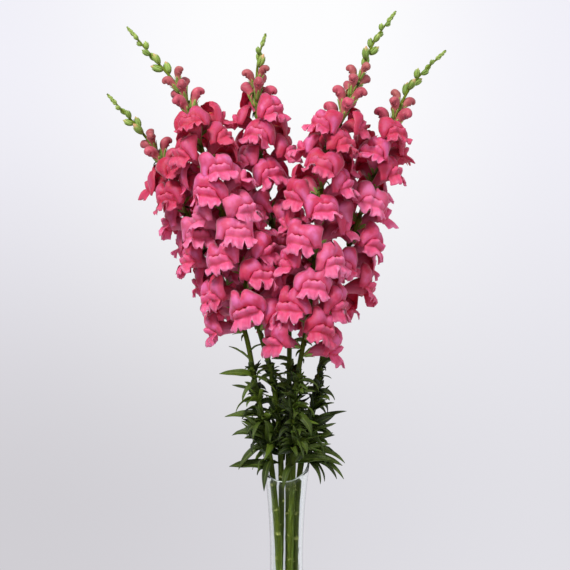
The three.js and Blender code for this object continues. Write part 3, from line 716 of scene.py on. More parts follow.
def add_sepals(piece, settings, kind, stations, places, axes, tone, material=0):
    """Five ovate sepals that lie on each body. Their profile widens slowly and then ends in a point."""
    cover, width, lift = SEPALS_ON[kind]
    s = np.linspace(0, 1, SEPAL_GRID[0])[:, None]
    t = np.linspace(-1, 1, SEPAL_GRID[1])[None]
    profile = (1 - 0.98 * s**2.4) * (0.75 + 0.5 * s)
    for k in range(SEPALS):
        turn = 2 * math.pi * k / SEPALS + SEPAL_START + t * width * profile
        share = np.broadcast_to(s * cover, turn.shape)
        grids = placed(round_body(stations, share, turn, SEPAL_LIFT + lift * s**2), places, axes)
        values = traits(s, t, 0.5, tone[:, None, None])
        piece.add_shells(grids, settings.sepal_thickness / MM, values, material)


def sized(kind, size, width):
    """A kind of body's stations in millimetres."""
    return kind[None] * np.stack([size, size, width], -1)[:, None]


def bud_frames(plant, kind, start, length, pitch, phase, upright, size, width):
    """Where buds sit on a stretch of a stem, and their stations. They shrink towards the tip."""
    count = int(length // pitch)
    n = np.arange(count)
    places, axes = plant.frames(start + n * pitch, plant.phase + phase + n * GOLDEN_ANGLE, upright)
    return places, axes, sized(kind, mix(*size, n / count), mix(*width, n / count))


def pink_bud_frames(plant):
    return bud_frames(plant, PINK_BUD, plant.bloom_end, plant.pink, *PINK_BUDS)


def add_pink_buds(piece, plant, settings):
    """Closed corollas: round bodies with a dent, the shut mouth, across the outer side of their heads, and
    with folds where the petals lie over each other."""
    places, axes, stations = pink_bud_frames(plant)
    grids, share = whole_body(stations, PINK_BUD_GRID)
    turn = circle(PINK_BUD_GRID[1])[None]
    drawn = draws(plant.seed + 1, (3, len(places), 1, 1))
    outer = smooth(*CLOSED_MOUTH_ENDS, np.sin(turn + 0.5 * drawn[0]))
    crease = settings.crease * bump(share, *CLOSED_MOUTH) * outer
    folds = smooth(*CLOSED_HEAD, share) * waves(CLOSED_FOLDS, turn, drawn, math.pi / 2)
    centre = grids.mean(2, keepdims=True)
    grids = centre + (grids - centre) * (1 - crease + folds)[..., None]
    age = np.linspace(1, 0, len(places))[:, None, None]
    piece.add_skins(placed(grids, places, axes), traits(share, np.sin(turn), age, drawn[0]))


def add_green_buds(piece, plant, settings):
    """Green buds wrapped by their sepals, and a knob of the smallest ones at the very tip."""
    start = plant.length - plant.green + FIRST_GREEN_BUD
    places, axes, stations = bud_frames(plant, GREEN_BUD, start, plant.green - KNOB_LENGTH, *GREEN_BUDS)
    tone = draws(plant.seed + 2, len(places))
    age = np.linspace(1, 0, len(places))[:, None, None]
    add_bodies(piece, stations, places, axes, age=age, tone=tone[:, None, None])
    add_sepals(piece, settings, "green_bud", stations, places, axes, tone, 1)
    add_knob(piece, plant)


def add_knob(piece, plant):
    """The knob at the tip: a spindle, and the smallest buds pressed to it."""
    share = np.linspace(0, 1, KNOB_RINGS)
    radii = np.interp(share, *np.transpose(KNOB_RADII))
    grid = plant.rings(plant.length - KNOB_LENGTH * (1 - share), radii * KNOB_CORE, KNOB_SIDES)
    piece.add_skins(grid[None], traits(share[:, None], 0, 0, KNOB_TONE))
    n = np.arange(KNOB_BUDS)
    share = (n + 0.3) / KNOB_BUDS
    lengths = plant.length - KNOB_LENGTH * (1 - 0.8 * share)
    places, axes = plant.frames(lengths, plant.phase + n * GOLDEN_ANGLE, 0)
    size = mix(*KNOB_BUD_SIZE, share)
    stations = sized(KNOB_BUD, size, size * KNOB_BUD_WIDTH)
    add_bodies(piece, stations, places, axes, KNOB_BUD_GRID, 0, 0.4 * np.cos(9 * share)[:, None, None])


def add_calyces(piece, plant, settings):
    """The calyx of each open floret and pink bud, on a short stalk from the stem."""
    rng = np.random.default_rng(plant.seed + 3)
    places, axes, size, _ = floret_frames(plant)
    size = size[:, None, None]
    tone = rng.uniform(-1, 1, len(size))
    add_sepals(piece, settings, "floret", CALYX[None] * size, places, axes, tone)
    add_bodies(piece, FLORET_STALK[None] * size, places, axes, STALK_GRID)
    places, axes, stations = pink_bud_frames(plant)
    tone = rng.uniform(-1, 1, len(places))
    add_sepals(piece, settings, "pink_bud", stations, places, axes, tone)
    add_bodies(piece, stations[:, :1] * BUD_STALK, places, axes, STALK_GRID)


# Leaves. A kind of small leaf is the middle and the stray of its length and width, its slopes at its start
# and end in degrees, and its sideways turn and roll in radians.
BRACT = [(11, 3), (3.6, 0.8), (10, 20), (-70, 30), (0, 0.8), (0, 0.5)]
STUB = [(3.4, 1), (3, 1), (50, 30), (0, 40), (0, 0.8), (0, 0)]
BRACT_SHADE = (0.5, 0.2)
STUB_SHADE = (0.8, 0.3)
BRACT_BELOW = 2.5
LEAF_GRID = (16, 7)
SMALL_LEAF_GRID = (8, 3)
LEAF_ROOT_DEPTH = 1
LEAF_WAVE = 0.16
LEAF_SHADE = (0.35, 0.7)
LARGE_LEAF_SHADE = (0.4, 0.9)
PALE_LEAVES = (340, 380)
RIM_CLEARANCE = 1.2
RIM_INSIDE = (-15, -3.5)
RIM_OUTSIDE = (14, 1)
SHOOT_LEAVES = 7
SHOOT_START = 282
SHOOT_END = 384
SHOOT_PITCH = 6
SHOOT_LENGTH = (46, 15)
SHOOT_WIDTH = (10, 5.5)
SHOOT_INNER_LENGTH = 0.4
SHOOT_INNER_WIDTH = 0.55
SHOOT_SLOPE_START = (82, 40, 38)
SHOOT_SLOPE_END = (60, -10, 80)
SHOOT_SIDEWAYS = 1.6
SHOOT_ROLL = 1.2
SHOOT_LEAN = 10
SHOOT_SPREAD = 100
SHOOT_SHADE = (0.3, 0.45)
STUB_START = 40
STUB_ROOT_DEPTH = 0.4

# Stalks.
STALK_STEP = 3
STALK_SIDES = 14
NODE_PITCH = 27
NODE_PHASE = 9
NODE_SWELL = 0.1
NODE_WIDTH = 2.4
RIBS = 5
RIB_TWIST = 45
HAIRS_PER_MM = 7
HAIR_RADIUS = 0.05
HAIR_SIDES = 3
HAIR_ROOT_DEPTH = 0.1
HAIR_LEAN = (-0.3, 0.5)
HAIR_REACH = (0.5, 1.2)
HAIR_TAPER = 0.75
HAIR_START = 60


def leaf_sheets(shape, grid, fold, drawn):
    """Blades about their roots. The spine adds up steps whose slope goes evenly from its start to its end
    and which turn sideways evenly. Across it, a blade is as wide as a profile that is pointed at both ends,
    folded up along its midrib, and waved at its edges."""
    length, width, start, end, sideways, roll = (value[:, None] for value in shape)
    s = np.linspace(0, 1, grid[0])[None]
    slope = np.radians(mix(start, end, s))
    turn = sideways * s
    step = np.stack([np.sin(turn) * np.cos(slope), np.cos(turn) * np.cos(slope), np.sin(slope)], -1)
    run = np.cumsum((step[:, 1:] + step[:, :-1]) / 2, 1) / (grid[0] - 1)
    spine = np.concatenate([0 * step[:, :1], run], 1) * length[..., None] - (0, LEAF_ROOT_DEPTH, 0)
    across = np.stack([np.cos(roll), 0 * roll, np.sin(roll)], -1)
    side = unit(across - step * (across * step).sum(-1, keepdims=True))
    face = np.cross(side, step)
    t = np.linspace(-1, 1, grid[1])[None, None]
    profile = np.maximum(np.sin(math.pi * s**0.75).clip(0) ** 0.85, 0.2 * (1 - s) + 0.015)
    half = (profile * width / 2)[..., None]
    wave = LEAF_WAVE * t**2 * np.sin(11 * s[..., None] + 9 * drawn[:, None, None] + 1.5 * np.sign(t))
    rise = half * (fold * np.abs(t) + wave)
    grids = spine[:, :, None] + side[:, :, None] * (half * t)[..., None] + face[:, :, None] * rise[..., None]
    return grids, s, t


def over_the_rim(points):
    """Blades lie over the vase's rim, not through its wall: what is below the rim is lifted towards it, by
    a share that grows from nothing well inside the wall to all of it at the wall, and fades out beyond."""
    x, y, z = np.moveaxis(points, -1, 0)
    top = rim_height(np.arctan2(y, x)) + RIM_CLEARANCE
    away = np.hypot(x, y) - outer_radius(top)
    share = smooth(*RIM_INSIDE, away) * smooth(*RIM_OUTSIDE, away)
    return np.stack([x, y, z + share * np.clip(top - z, 0, None)], -1)


def add_blades(piece, places, axes, shape, grid, settings, drawn, shade):
    grids, s, t = leaf_sheets(shape, grid, settings.leaf_fold, drawn)
    values = traits(s[..., None], t, shade[:, None, None], drawn[:, None, None])
    piece.add_shells(over_the_rim(placed(grids, places, axes)), settings.leaf_thickness / MM, values)


def leaf_frames(plant):
    """Where a plant's leaves grow, their shapes for leaf_sheets, and shares of the way up."""
    count = int((plant.bloom_start - LEAF_END_BELOW_BLOOM - LEAF_START) // LEAF_PITCH)
    n = np.arange(count)
    share = n / count
    seed = plant.seed + n
    turns = plant.phase + LEAF_PHASE + n * GOLDEN_ANGLE + vary(seed, 4, LEAF_PHASE_STRAY)
    places, axes = plant.frames(LEAF_START + n * LEAF_PITCH, turns, LEAF_UPRIGHT)
    shape = (
        scaled(LEAF_LENGTH, share, seed, 0),
        scaled(LEAF_WIDTH, share, seed, 1),
        strayed(LEAF_SLOPE_START, share, seed, 2),
        strayed(LEAF_SLOPE_END, share, seed, 3),
        vary(seed, 1, LEAF_SIDEWAYS_STRAY),
        vary(seed, 2, LEAF_ROLL_STRAY),
    )
    return places, axes, shape, share


def large_leaf_frames(plant):
    """The same for the large leaves, which stand upright, with their roots' lengths along the stem."""
    at, direction, length, width, start, end, roll = plant.large_leaves.T
    outward = level_directions(np.radians(direction))
    up = np.broadcast_to((0, 0, 1), outward.shape)
    axes = np.stack([np.cross(outward, up), outward, up], -1)
    return plant.point_at(at), axes, (length, width, start, end, 0 * at, np.radians(roll)), at


def add_leaves(piece, plant, settings):
    """The leaves that follow the spiral, and the large ones. The highest are the palest."""
    places, axes, shape, share = leaf_frames(plant)
    drawn = draws(plant.seed + 4, len(share))
    add_blades(piece, places, axes, shape, LEAF_GRID, settings, drawn, mix(*LEAF_SHADE, share))
    places, axes, shape, at = large_leaf_frames(plant)
    drawn = draws(plant.seed + 8, len(places))
    shade = mix(*LARGE_LEAF_SHADE, smooth(*PALE_LEAVES, at))
    add_blades(piece, places, axes, shape, LEAF_GRID, settings, drawn, shade)


def add_shoots(piece, plant, settings):
    """The tufts of young narrow leaves that fill the leafy part of a stem. Each tuft has its own place and
    direction, and its leaves spread from it, the outer ones longer and bent further over."""
    rng = np.random.default_rng(plant.seed + 5)
    lengths = np.arange(SHOOT_START, SHOOT_END, SHOOT_PITCH)
    lengths = lengths + rng.uniform(-1, 1, len(lengths)) * SHOOT_PITCH
    turns = rng.uniform(0, 2 * math.pi, len(lengths))
    places, axes = plant.frames(lengths, turns, LEAF_UPRIGHT)
    share = np.linspace(0, 1, len(lengths))
    for outer in np.linspace(0, 1, SHOOT_LEAVES):
        drawn = rng.uniform(-1, 1, (8, len(share)))
        shape = (
            mix(*SHOOT_LENGTH, share) * mix(SHOOT_INNER_LENGTH, 1, outer) * (1 + 0.35 * drawn[0]),
            mix(*SHOOT_WIDTH, share) * mix(SHOOT_INNER_WIDTH, 1, outer) * (1 + 0.3 * drawn[1]),
            mix(*SHOOT_SLOPE_START[:2], outer) + SHOOT_SLOPE_START[2] * drawn[2],
            mix(*SHOOT_SLOPE_END[:2], outer) + SHOOT_SLOPE_END[2] * drawn[3],
            SHOOT_SIDEWAYS * drawn[4],
            SHOOT_ROLL * drawn[5],
        )
        spread = turned(turned(axes, 0, SHOOT_LEAN * drawn[6]), 2, SHOOT_SPREAD * drawn[7])
        shade = about(SHOOT_SHADE, drawn[7])
        add_blades(piece, places, spread, shape, SMALL_LEAF_GRID, settings, drawn[6], shade)


def add_small_leaves(piece, places, axes, settings, kind, shade, drawn):
    """Small leaves of a kind, each with its own draws."""
    shape = [about(limits, draw) for limits, draw in zip(kind, drawn)]
    shade = about(shade, drawn[1])
    add_blades(piece, places, axes, shape, SMALL_LEAF_GRID, settings, drawn[0], shade)


def add_bracts(piece, plant, settings):
    """A small leaf under each open floret and each pink bud, bent back along the stem."""
    rng = np.random.default_rng(plant.seed + 6)
    for places, axes in (floret_frames(plant)[:2], pink_bud_frames(plant)[:2]):
        drawn = rng.uniform(-1, 1, (6, len(places)))
        roots = places - axes[..., 2] * BRACT_BELOW
        add_small_leaves(piece, roots, axes, settings, BRACT, BRACT_SHADE, drawn)


def add_stubs(piece, plant, settings):
    """What is left of the leaves that were pulled off the lower stem: a short torn foot at each node."""
    lengths = np.arange(NODE_PITCH / 2 - NODE_PHASE * plant.phase % NODE_PITCH, LEAF_START, NODE_PITCH)
    lengths = lengths[lengths > STUB_START]
    drawn = draws(plant.seed + 9, (6, len(lengths)))
    places, axes = plant.frames(lengths, math.pi * drawn[5], 0)
    places = places + axes[..., 1] * (plant.radius(lengths)[:, None] - STUB_ROOT_DEPTH)
    add_small_leaves(piece, places, axes, settings, STUB, STUB_SHADE, drawn)


def add_stalk(piece, plant, settings):
    """The whole stem as one round body: ribbed a little, and swollen at nodes below its leaves."""
    lengths = np.linspace(0, plant.length, int(plant.length / STALK_STEP))
    turn = circle(STALK_SIDES)[None]
    rib = 1 + settings.rib * np.cos(RIBS * turn + lengths[:, None] / RIB_TWIST)
    nodes = bump((lengths + NODE_PHASE * plant.phase) % NODE_PITCH, NODE_PITCH / 2, NODE_WIDTH)
    nodes = (nodes * (lengths < LEAF_START))[:, None]
    grid = plant.rings(lengths, plant.radius(lengths)[:, None] * rib * (1 + NODE_SWELL * nodes), STALK_SIDES)
    young = smooth(plant.bloom_start - HAIR_START, plant.bloom_end, lengths)[:, None]
    piece.add_skins(grid[None], traits(lengths[:, None] / 100, np.cos(turn), young, nodes))


def add_hairs(piece, plant, settings):
    """Short hairs on the upper stem, each a three-sided spike that leans up a little."""
    rng = np.random.default_rng(plant.seed + 7)
    start = plant.bloom_start - HAIR_START
    count = int((plant.length - start) * HAIRS_PER_MM)
    lengths = rng.uniform(start, plant.length, count)
    turn = rng.uniform(0, 2 * math.pi, count)
    along, side, other = plant.sides(lengths)
    outward = between(side, other, turn)
    root = plant.point_at(lengths) + outward * (plant.radius(lengths)[:, None] - HAIR_ROOT_DEPTH)
    lean = unit(outward + along * rng.uniform(*HAIR_LEAN, (count, 1)))
    reach = settings.hair_length / MM * rng.uniform(*HAIR_REACH, (count, 1, 1, 1))
    flat = unit(np.cross(lean, along))
    ring = between(flat[:, None], np.cross(lean, flat)[:, None], circle(HAIR_SIDES))
    share = np.array((0, 1))[:, None, None]
    grids = root[:, None, None] + ring[:, None] * HAIR_RADIUS * (1 - HAIR_TAPER * share)
    piece.add_skins(grids + lean[:, None, None] * reach * share, traits(0.5))


# The vase and its water, as outlines of radius and height that are turned about Z.
VASE_SIDES = 96
WALL_STEPS = 48
RIM_STEPS = 7
RIM_ROUNDS = 12
FOOT_OUTLINE = [(0.5, 0), (25, 0), (37.5, 0), (39.4, 0.35), (40.5, 1.4), (FOOT_RADIUS, FOOT_EDGE)]
FLOOR_OUTLINE = [
    (FLOOR_RADIUS + 1, 15.2), (FLOOR_RADIUS - 2, 14.2), (15, FLOOR_THICKNESS), (0.5, FLOOR_THICKNESS),
]
CORNER_INSET = 0.6
CORNER_HEIGHT = 18
WATER_TRACE = 0.08
WATER_FLOOR = [
    (0.5, FLOOR_THICKNESS - WATER_TRACE), (15, FLOOR_THICKNESS - WATER_TRACE), (FLOOR_RADIUS - 2, 14.1),
    (FLOOR_RADIUS + 1, 15.2),
]
WATER_CREEP = [(0.6, 0.7), (2, 1.1)]
WATER_DIP = 1.2


def outward_of_waist(radius, share, height):
    return mix(WAIST_RADIUS, radius, share), height


VASE_OUTLINE = np.array([
    (FOOT_RADIUS, FOOT_EDGE),
    outward_of_waist(FOOT_RADIUS, 0.72, 24),
    outward_of_waist(FOOT_RADIUS, 0.4, 54),
    outward_of_waist(FOOT_RADIUS, 0.14, 94),
    (WAIST_RADIUS, WAIST_HEIGHT),
    outward_of_waist(MOUTH_RADIUS, 0.26, 252),
    outward_of_waist(MOUTH_RADIUS, 0.62, 284),
    (MOUTH_RADIUS, MOUTH_TOP),
])


def outer_radius(height):
    """The vase's outer radius: a cubic between the outline's points, with the mean slope at each."""
    radii, heights = VASE_OUTLINE.T
    slopes = np.gradient(radii, heights)
    i = np.clip(np.searchsorted(heights, height) - 1, 0, len(heights) - 2)
    span = heights[i + 1] - heights[i]
    t = (height - heights[i]) / span
    low = (1 + 2 * t) * (1 - t) ** 2 * radii[i] + t * (1 - t) ** 2 * span * slopes[i]
    high = t * t * (3 - 2 * t) * radii[i + 1] + t * t * (t - 1) * span * slopes[i + 1]
    return low + high


def rim_height(turn):
    """Where the slanted cut meets the wall at each turn, found by a few rounds of trying."""
    slant = MOUTH_SLANT * np.sin(turn) + MOUTH_ROLL * np.cos(turn)
    height = np.full_like(turn, MOUTH_HEIGHT)
    for _ in range(RIM_ROUNDS):
        height = MOUTH_HEIGHT + slant * outer_radius(height)
    return height


def turned_profile(rows, turn):
    """Rings about Z from rows of radius and height, each a number or one value for each turn."""
    radii, heights = (np.stack([np.broadcast_to(row[k], turn.shape) for row in rows]) for k in (0, 1))
    return np.stack([radii * np.cos(turn), radii * np.sin(turn), heights], -1)


def vase_rings():
    """The glass: flat foot with a rounded edge, the outer wall up to the slanted cut, a half-round rim, the
    inner wall down to a rounded corner, and the floor."""
    turn = circle(VASE_SIDES)
    half = WALL / 2
    top = rim_height(turn) - half
    rows = list(FOOT_OUTLINE)
    for share in np.linspace(0, 1, WALL_STEPS)[1:]:
        height = mix(FOOT_EDGE, top, share)
        rows.append((outer_radius(height), height))
    for angle in np.linspace(0, math.pi, RIM_STEPS)[1:-1]:
        rows.append((outer_radius(top) - half + half * math.cos(angle), top + half * math.sin(angle)))
    for share in np.linspace(1, 0, WALL_STEPS):
        height = mix(FLOOR_THICKNESS + INNER_CORNER, top, share)
        rows.append((outer_radius(height) - WALL, height))
    rows += [(rows[-1][0] - CORNER_INSET, CORNER_HEIGHT), *FLOOR_OUTLINE]
    return turned_profile(rows, turn)


def mark_rim(finish):
    """Material 1 for the faces of the rim, which are the rows about its half round."""
    first = len(FOOT_OUTLINE) + WALL_STEPS - 2
    rim = range(first * VASE_SIDES, (first + RIM_STEPS - 1) * VASE_SIDES)
    return [1 if number in rim else material for number, material in enumerate(finish)]


def water_rings():
    """The water: it touches the glass all round, a trace inside it, and creeps up it at its surface."""
    heights = np.linspace(FLOOR_THICKNESS + INNER_CORNER, WATER_HEIGHT, WALL_STEPS)
    rows = [*WATER_FLOOR, *((outer_radius(height) - WALL + WATER_TRACE, height) for height in heights)]
    edge = rows[-1][0]
    rows += [(edge - inset, WATER_HEIGHT - dip) for inset, dip in WATER_CREEP]
    return turned_profile([*rows, (0.5, WATER_HEIGHT - WATER_DIP)], circle(VASE_SIDES))


def maths(operation, swapped=False):
    """An operator of Field: a Math node on it and on what stands beside it, if anything does."""
    def method(self, *others):
        values = [*others, self] if swapped else [self, *others]
        return self.graph.node("ShaderNodeMath", {"operation": operation}, dict(enumerate(values)))
    return method


class Field:
    """A socket of a material's tree. Python's operators on it add Math nodes."""

    def __init__(self, graph, socket):
        self.graph = graph
        self.socket = socket

    __add__ = __radd__ = maths("ADD")
    __sub__ = maths("SUBTRACT")
    __rsub__ = maths("SUBTRACT", True)
    __mul__ = __rmul__ = maths("MULTIPLY")
    __abs__ = maths("ABSOLUTE")
    sine = maths("SINE")

    def clamp(self):
        return self.graph.node("ShaderNodeClamp", {}, {0: self})


class Graph:
    """A material, or the world, whose nodes are made by one method."""

    def __init__(self, owner):
        self.owner = owner
        owner.use_nodes = True
        self.tree = owner.node_tree
        self.tree.nodes.clear()

    def node(self, kind, settings, inputs, output=0):
        node = self.tree.nodes.new(kind)
        for key, value in settings.items():
            setattr(node, key, value)
        for key, value in inputs.items():
            if isinstance(value, Field):
                self.tree.links.new(value.socket, node.inputs[key])
            else:
                node.inputs[key].default_value = value
        return Field(self, node.outputs[output]) if node.outputs else node

    def outputs(self, kind, settings, inputs, *names):
        """Several outputs of one node."""
        first = self.node(kind, settings, inputs)
        return [Field(self, first.socket.node.outputs[name]) for name in names]

    def mix(self, factor, first, second):
        """A colour between two: first where the factor is 0 and second where it is 1."""
        first, second = (value if isinstance(value, Field) else (*value[:3], 1) for value in (first, second))
        settings = {"data_type": "RGBA", "clamp_factor": True}
        return self.node("ShaderNodeMix", settings, {0: factor, 6: first, 7: second}, 2)

    def layered(self, base, *layers):
        """A colour with others laid over it in turn, each as far as its own mask says."""
        for mask, over in layers:
            base = self.mix(mask, base, over)
        return base

    def step(self, low, high, value):
        """0 below low, 1 above high and smooth between. With low above high it falls instead."""
        settings = {"interpolation_type": "SMOOTHSTEP"}
        return self.node("ShaderNodeMapRange", settings, {"Value": value, "From Min": low, "From Max": high})

    def band(self, value, centre, width):
        return self.step(width, 0, abs(value - centre))

    def object_places(self):
        return self.node("ShaderNodeTexCoord", {}, {}, "Object")

    def noise(self, scale, detail=2, places=None):
        inputs = {"Vector": places or self.object_places(), "Scale": scale, "Detail": detail}
        return self.node("ShaderNodeTexNoise", {}, inputs)

    def traits(self):
        """The four values of each point."""
        settings = {"attribute_name": "traits"}
        kept, last = self.outputs("ShaderNodeAttribute", settings, {}, "Color", "Alpha")
        return [*self.outputs("ShaderNodeSeparateColor", {}, {0: kept}, 0, 1, 2), last]

    def normal(self, height, strength, distance):
        return self.node("ShaderNodeBump", {}, {"Height": height, "Strength": strength, "Distance": distance})

    def grained(self, base, grain, roughness, strength, **inputs):
        """A finish with one grain that varies both its roughness and its relief."""
        normal = self.normal(grain, strength, 0.0004)
        return self.surface(Base_Color=base, Roughness=0.5 + roughness * grain, Normal=normal, **inputs)

    def surface(self, **inputs):
        """Ends the tree in a Principled shader. Underscores stand for the spaces in its sockets' names."""
        inputs = {key.replace("_", " "): value for key, value in inputs.items()}
        shader = self.node("ShaderNodeBsdfPrincipled", {}, inputs)
        self.node("ShaderNodeOutputMaterial", {}, {"Surface": shader})
        return self.owner


def material_graph(name):
    return Graph(bpy.data.materials.new(name))


# The places of colours along a petal, and the numbers of veins across it and up a leaf, in radians.
MOUTH_AT = 0.5
LIP_SPOTS_AT = 0.59
# Painted shade: where the hood folds above the mouth and where the lip creases under the palate, the colour
# is darkened as if shadow fell there.
HOOD_FOLD_SHADE_AT = 0.6
LIP_FOLD_SHADE_AT = 0.79
# Painted highlight: the hood's crest, which faces up towards the key light, is lightened in colour.
CREST_HIGHLIGHT_AT = 0.84
PETAL_VEINS = 46
LEAF_VEINS = 55
LEAF_VEIN_SLANT = 9
STEM_STREAKS = 14
GLASS_IOR = 1.46
WATER_IOR = 1.33


def petal_material(settings):
    """Traits: along, across, 0 on the hood and 1 on the lip, tone. The tube is pale, painted shade darkens
    the folds, a painted highlight lightens the hood's crest and the margins are light, the mouth has yellow
    spots, and fine veins run along the petals."""
    graph = material_graph("velvet_petal")
    along, across, lip, tone = graph.traits()
    hood = 1 - lip
    fine = graph.noise(420, 3)
    # Painted shade: the hood's fold above the mouth and the lip's crease under the palate are darkened with
    # the shade colour.
    fold = graph.band(along, HOOD_FOLD_SHADE_AT, 0.12) * hood + graph.band(along, LIP_FOLD_SHADE_AT, 0.06) * lip
    # Painted highlight: the hood's crest is lightened in patches with the crest colour.
    crest_highlight = graph.band(along, CREST_HIGHLIGHT_AT, 0.14) * hood * graph.step(0.35, 0.65, graph.noise(70))
    palate = graph.band(along, 0.67, 0.08) * lip * graph.step(0.7, 0.3, abs(across))
    vein = graph.step(0.55, 1, (across * PETAL_VEINS + fine * 5).sine()) * graph.step(0.15, 0.5, along)
    spots = graph.band(along, LIP_SPOTS_AT, 0.06) * lip + graph.band(along, MOUTH_AT, 0.06) * hood
    yellow = spots * graph.step(0.36, 0.12, abs(across)) * graph.step(0.35, 0.6, fine)
    base = graph.layered(
        settings.hood_colour,
        (graph.step(0.45, 0.62, along) * lip, settings.lip_colour),
        (graph.step(0.5, 0.2, along) * 0.85, settings.tube_colour),
        (fold * 0.7, settings.shade_colour),
        (crest_highlight * 0.7, settings.crest_highlight_colour),
        (palate * 0.4, settings.edge_colour),
        (graph.step(0.9, 1, along) * (0.2 + 0.4 * lip), settings.edge_colour),
        (vein * 0.07, settings.shade_colour),
        (yellow * 0.85, settings.mouth_colour),
        # A negative tone darkens a floret: at random, duller towards the tip, and as painted shade on the
        # lowest florets.
        ((0 - tone).clamp() * 0.6, settings.shade_colour),
        (tone.clamp() * 0.35, settings.edge_colour),
        (graph.step(0.4, 0.75, graph.noise(95)) * 0.12, settings.shade_colour),
    )
    height = graph.noise(2600, 2) * 0.25 + vein * 0.1 + graph.noise(210, 3)
    return graph.surface(
        Base_Color=base,
        Roughness=0.42 + 0.2 * fine,
        Normal=graph.normal(height, 0.5, 0.0012),
        Sheen_Weight=0.18,
        Sheen_Roughness=0.35,
        Subsurface_Weight=0.32,
        Subsurface_Radius=(1, 0.25, 0.3),
        Subsurface_Scale=0.005,
        Specular_IOR_Level=0.35,
    )


def leaf_material(settings):
    """Traits: along, across, lightness, tone. A pale midrib, side veins and mottling."""
    graph = material_graph("leaf_blade")
    along, across, light, tone = graph.traits()
    mottle = graph.noise(170, 3)
    side = graph.step(0.75, 1, (along * LEAF_VEINS - abs(across) * LEAF_VEIN_SLANT).sine())
    rib = graph.step(0.14, 0.02, abs(across))
    base = graph.layered(
        settings.leaf_dark,
        ((light + tone * 0.3).clamp(), settings.leaf_light),
        (side * 0.22, settings.leaf_light),
        (rib * 0.5, settings.rib_colour),
        (graph.step(0.5, 0.8, mottle) * 0.3, settings.leaf_dark),
    )
    return graph.surface(
        Base_Color=base,
        Roughness=0.46 + 0.18 * mottle,
        Normal=graph.normal(mottle + rib * 0.6 + side * 0.3, 0.4, 0.0006),
        Specular_IOR_Level=0.32,
        Subsurface_Weight=0.05,
        Subsurface_Radius=(0.3, 1, 0.2),
        Subsurface_Scale=0.002,
    )


def stem_material(settings):
    """Traits: length from the cut end in decimetres, side, 1 among the buds, node. Streaks run along it."""
    graph = material_graph("stem_skin")
    length, side, young, node = graph.traits()
    streak = graph.step(0.4, 0.7, (side * STEM_STREAKS + graph.noise(60) * 6).sine())
    scars = graph.step(0.4, 0.9, node) * graph.step(0.46, 0.56, graph.noise(110))
    base = graph.layered(
        settings.stem_colour,
        (young, settings.stem_young),
        (streak * 0.2, settings.rib_colour),
        (graph.step(0.45, 0.75, graph.noise(90, 3)) * 0.35, settings.leaf_dark),
        (scars * 0.85, settings.scar_colour),
        (graph.step(0.14, 0.1, length) * 0.7, settings.rib_colour),
    )
    return graph.surface(
        Base_Color=base,
        Roughness=0.55 + 0.2 * graph.noise(300),
        Normal=graph.normal(graph.noise(900, 2) + streak * 0.6, 0.4, 0.0004),
        Specular_IOR_Level=0.2,
    )


def bud_material(settings):
    """Traits: along, 0, 1 on the lowest and 0 on the highest, tone. The lower buds' tips blush."""
    graph = material_graph("green_bud_skin")
    along, _, age, tone = graph.traits()
    grain = graph.noise(500, 3)
    base = graph.layered(
        settings.green,
        (0.5 + tone * 0.35, settings.pale),
        (graph.step(0.5, 0.95, along) * graph.step(0.3, 1, age) * 0.9, settings.blush),
        (graph.step(0.5, 0.8, grain) * 0.3, settings.green),
    )
    return graph.grained(base, grain, 0.15, 0.4)


def sepal_material(settings):
    """Traits: along, across, -, tone. Green sepals with paler edges and fine hairs as grain."""
    graph = material_graph("sepal_skin")
    along, across, _, tone = graph.traits()
    grain = graph.noise(700, 3)
    base = graph.layered(
        settings.green,
        (0.5 + tone * 0.4, settings.sepal),
        (graph.step(0.6, 1, abs(across)) * 0.35, settings.pale),
        (graph.step(0.7, 1, along) * 0.3, settings.pale),
    )
    return graph.grained(base, grain, 0.2, 0.5)


def pink_bud_material(settings):
    """Traits: along, front or back, 1 on the lowest and 0 on the highest, tone. A yellowish foot turns to
    rose, duller on the younger ones, and painted shade darkens the crease of the shut mouth."""
    graph = material_graph("closed_bud_skin")
    along, front, age, tone = graph.traits()
    grain = graph.noise(380, 3)
    base = graph.layered(
        settings.bud_tube,
        (graph.step(0.12, 0.55, along), graph.mix(age, settings.rose_young, settings.rose)),
        # Painted shade in the crease of the shut mouth, on the outer side.
        (graph.band(along, 0.8, 0.07) * graph.step(-0.5, 0.4, front) * 0.8, settings.rose_dark_and_painted_shade),
        (graph.step(0.42, 0.68, graph.noise(150, 3)) * 0.6, settings.rose_dark_and_painted_shade),
        ((0.4 + tone * 0.4).clamp() * 0.5, settings.rose_dark_and_painted_shade),
        (graph.step(0.5, 0.8, grain) * 0.2, settings.blush),
    )
    return graph.grained(base, grain, 0.15, 0.35, Sheen_Weight=0.2)


def hair_material(settings):
    graph = material_graph("stem_hair")
    base = graph.mix(graph.noise(200), settings.hair_colour, settings.rib_colour)
    return graph.surface(Base_Color=base, Roughness=0.5)


def clear_material(name, shade, scale, detail, roughness, wave, ior):
    """Something clear whose surface waves a little, as drawn glass and still water do."""
    graph = material_graph(name)
    ripple = graph.noise(scale, detail)
    return graph.surface(
        Base_Color=(*shade, 1),
        Roughness=roughness * ripple,
        Normal=graph.normal(ripple, wave, 0.001),
        Transmission_Weight=1.0,
        IOR=ior,
    )


def rim_glow_material(settings):
    """The ground and polished rim. Its pale, partly cloudy colour is painted light, for the light that runs
    up inside the wall and shows at the cut.
    """
    graph = material_graph("glass_rim")
    grain = graph.noise(300, 2)
    base = graph.mix(grain * 0.3, settings.rim_glow_colour, settings.glass_tint)
    roughness = 0.15 + 0.1 * grain
    return graph.surface(Base_Color=base, Roughness=roughness, Transmission_Weight=0.55, IOR=GLASS_IOR)


def tint(name, of, *rgb):
    return bpy.props.FloatVectorProperty(
        name=name, description=f"Colour of {of}", default=colour(*rgb), subtype="COLOR", size=3, min=0, max=1
    )


def amount(name, description, default, unit="NONE"):
    return bpy.props.FloatProperty(name=name, description=description, default=default, unit=unit, min=0)


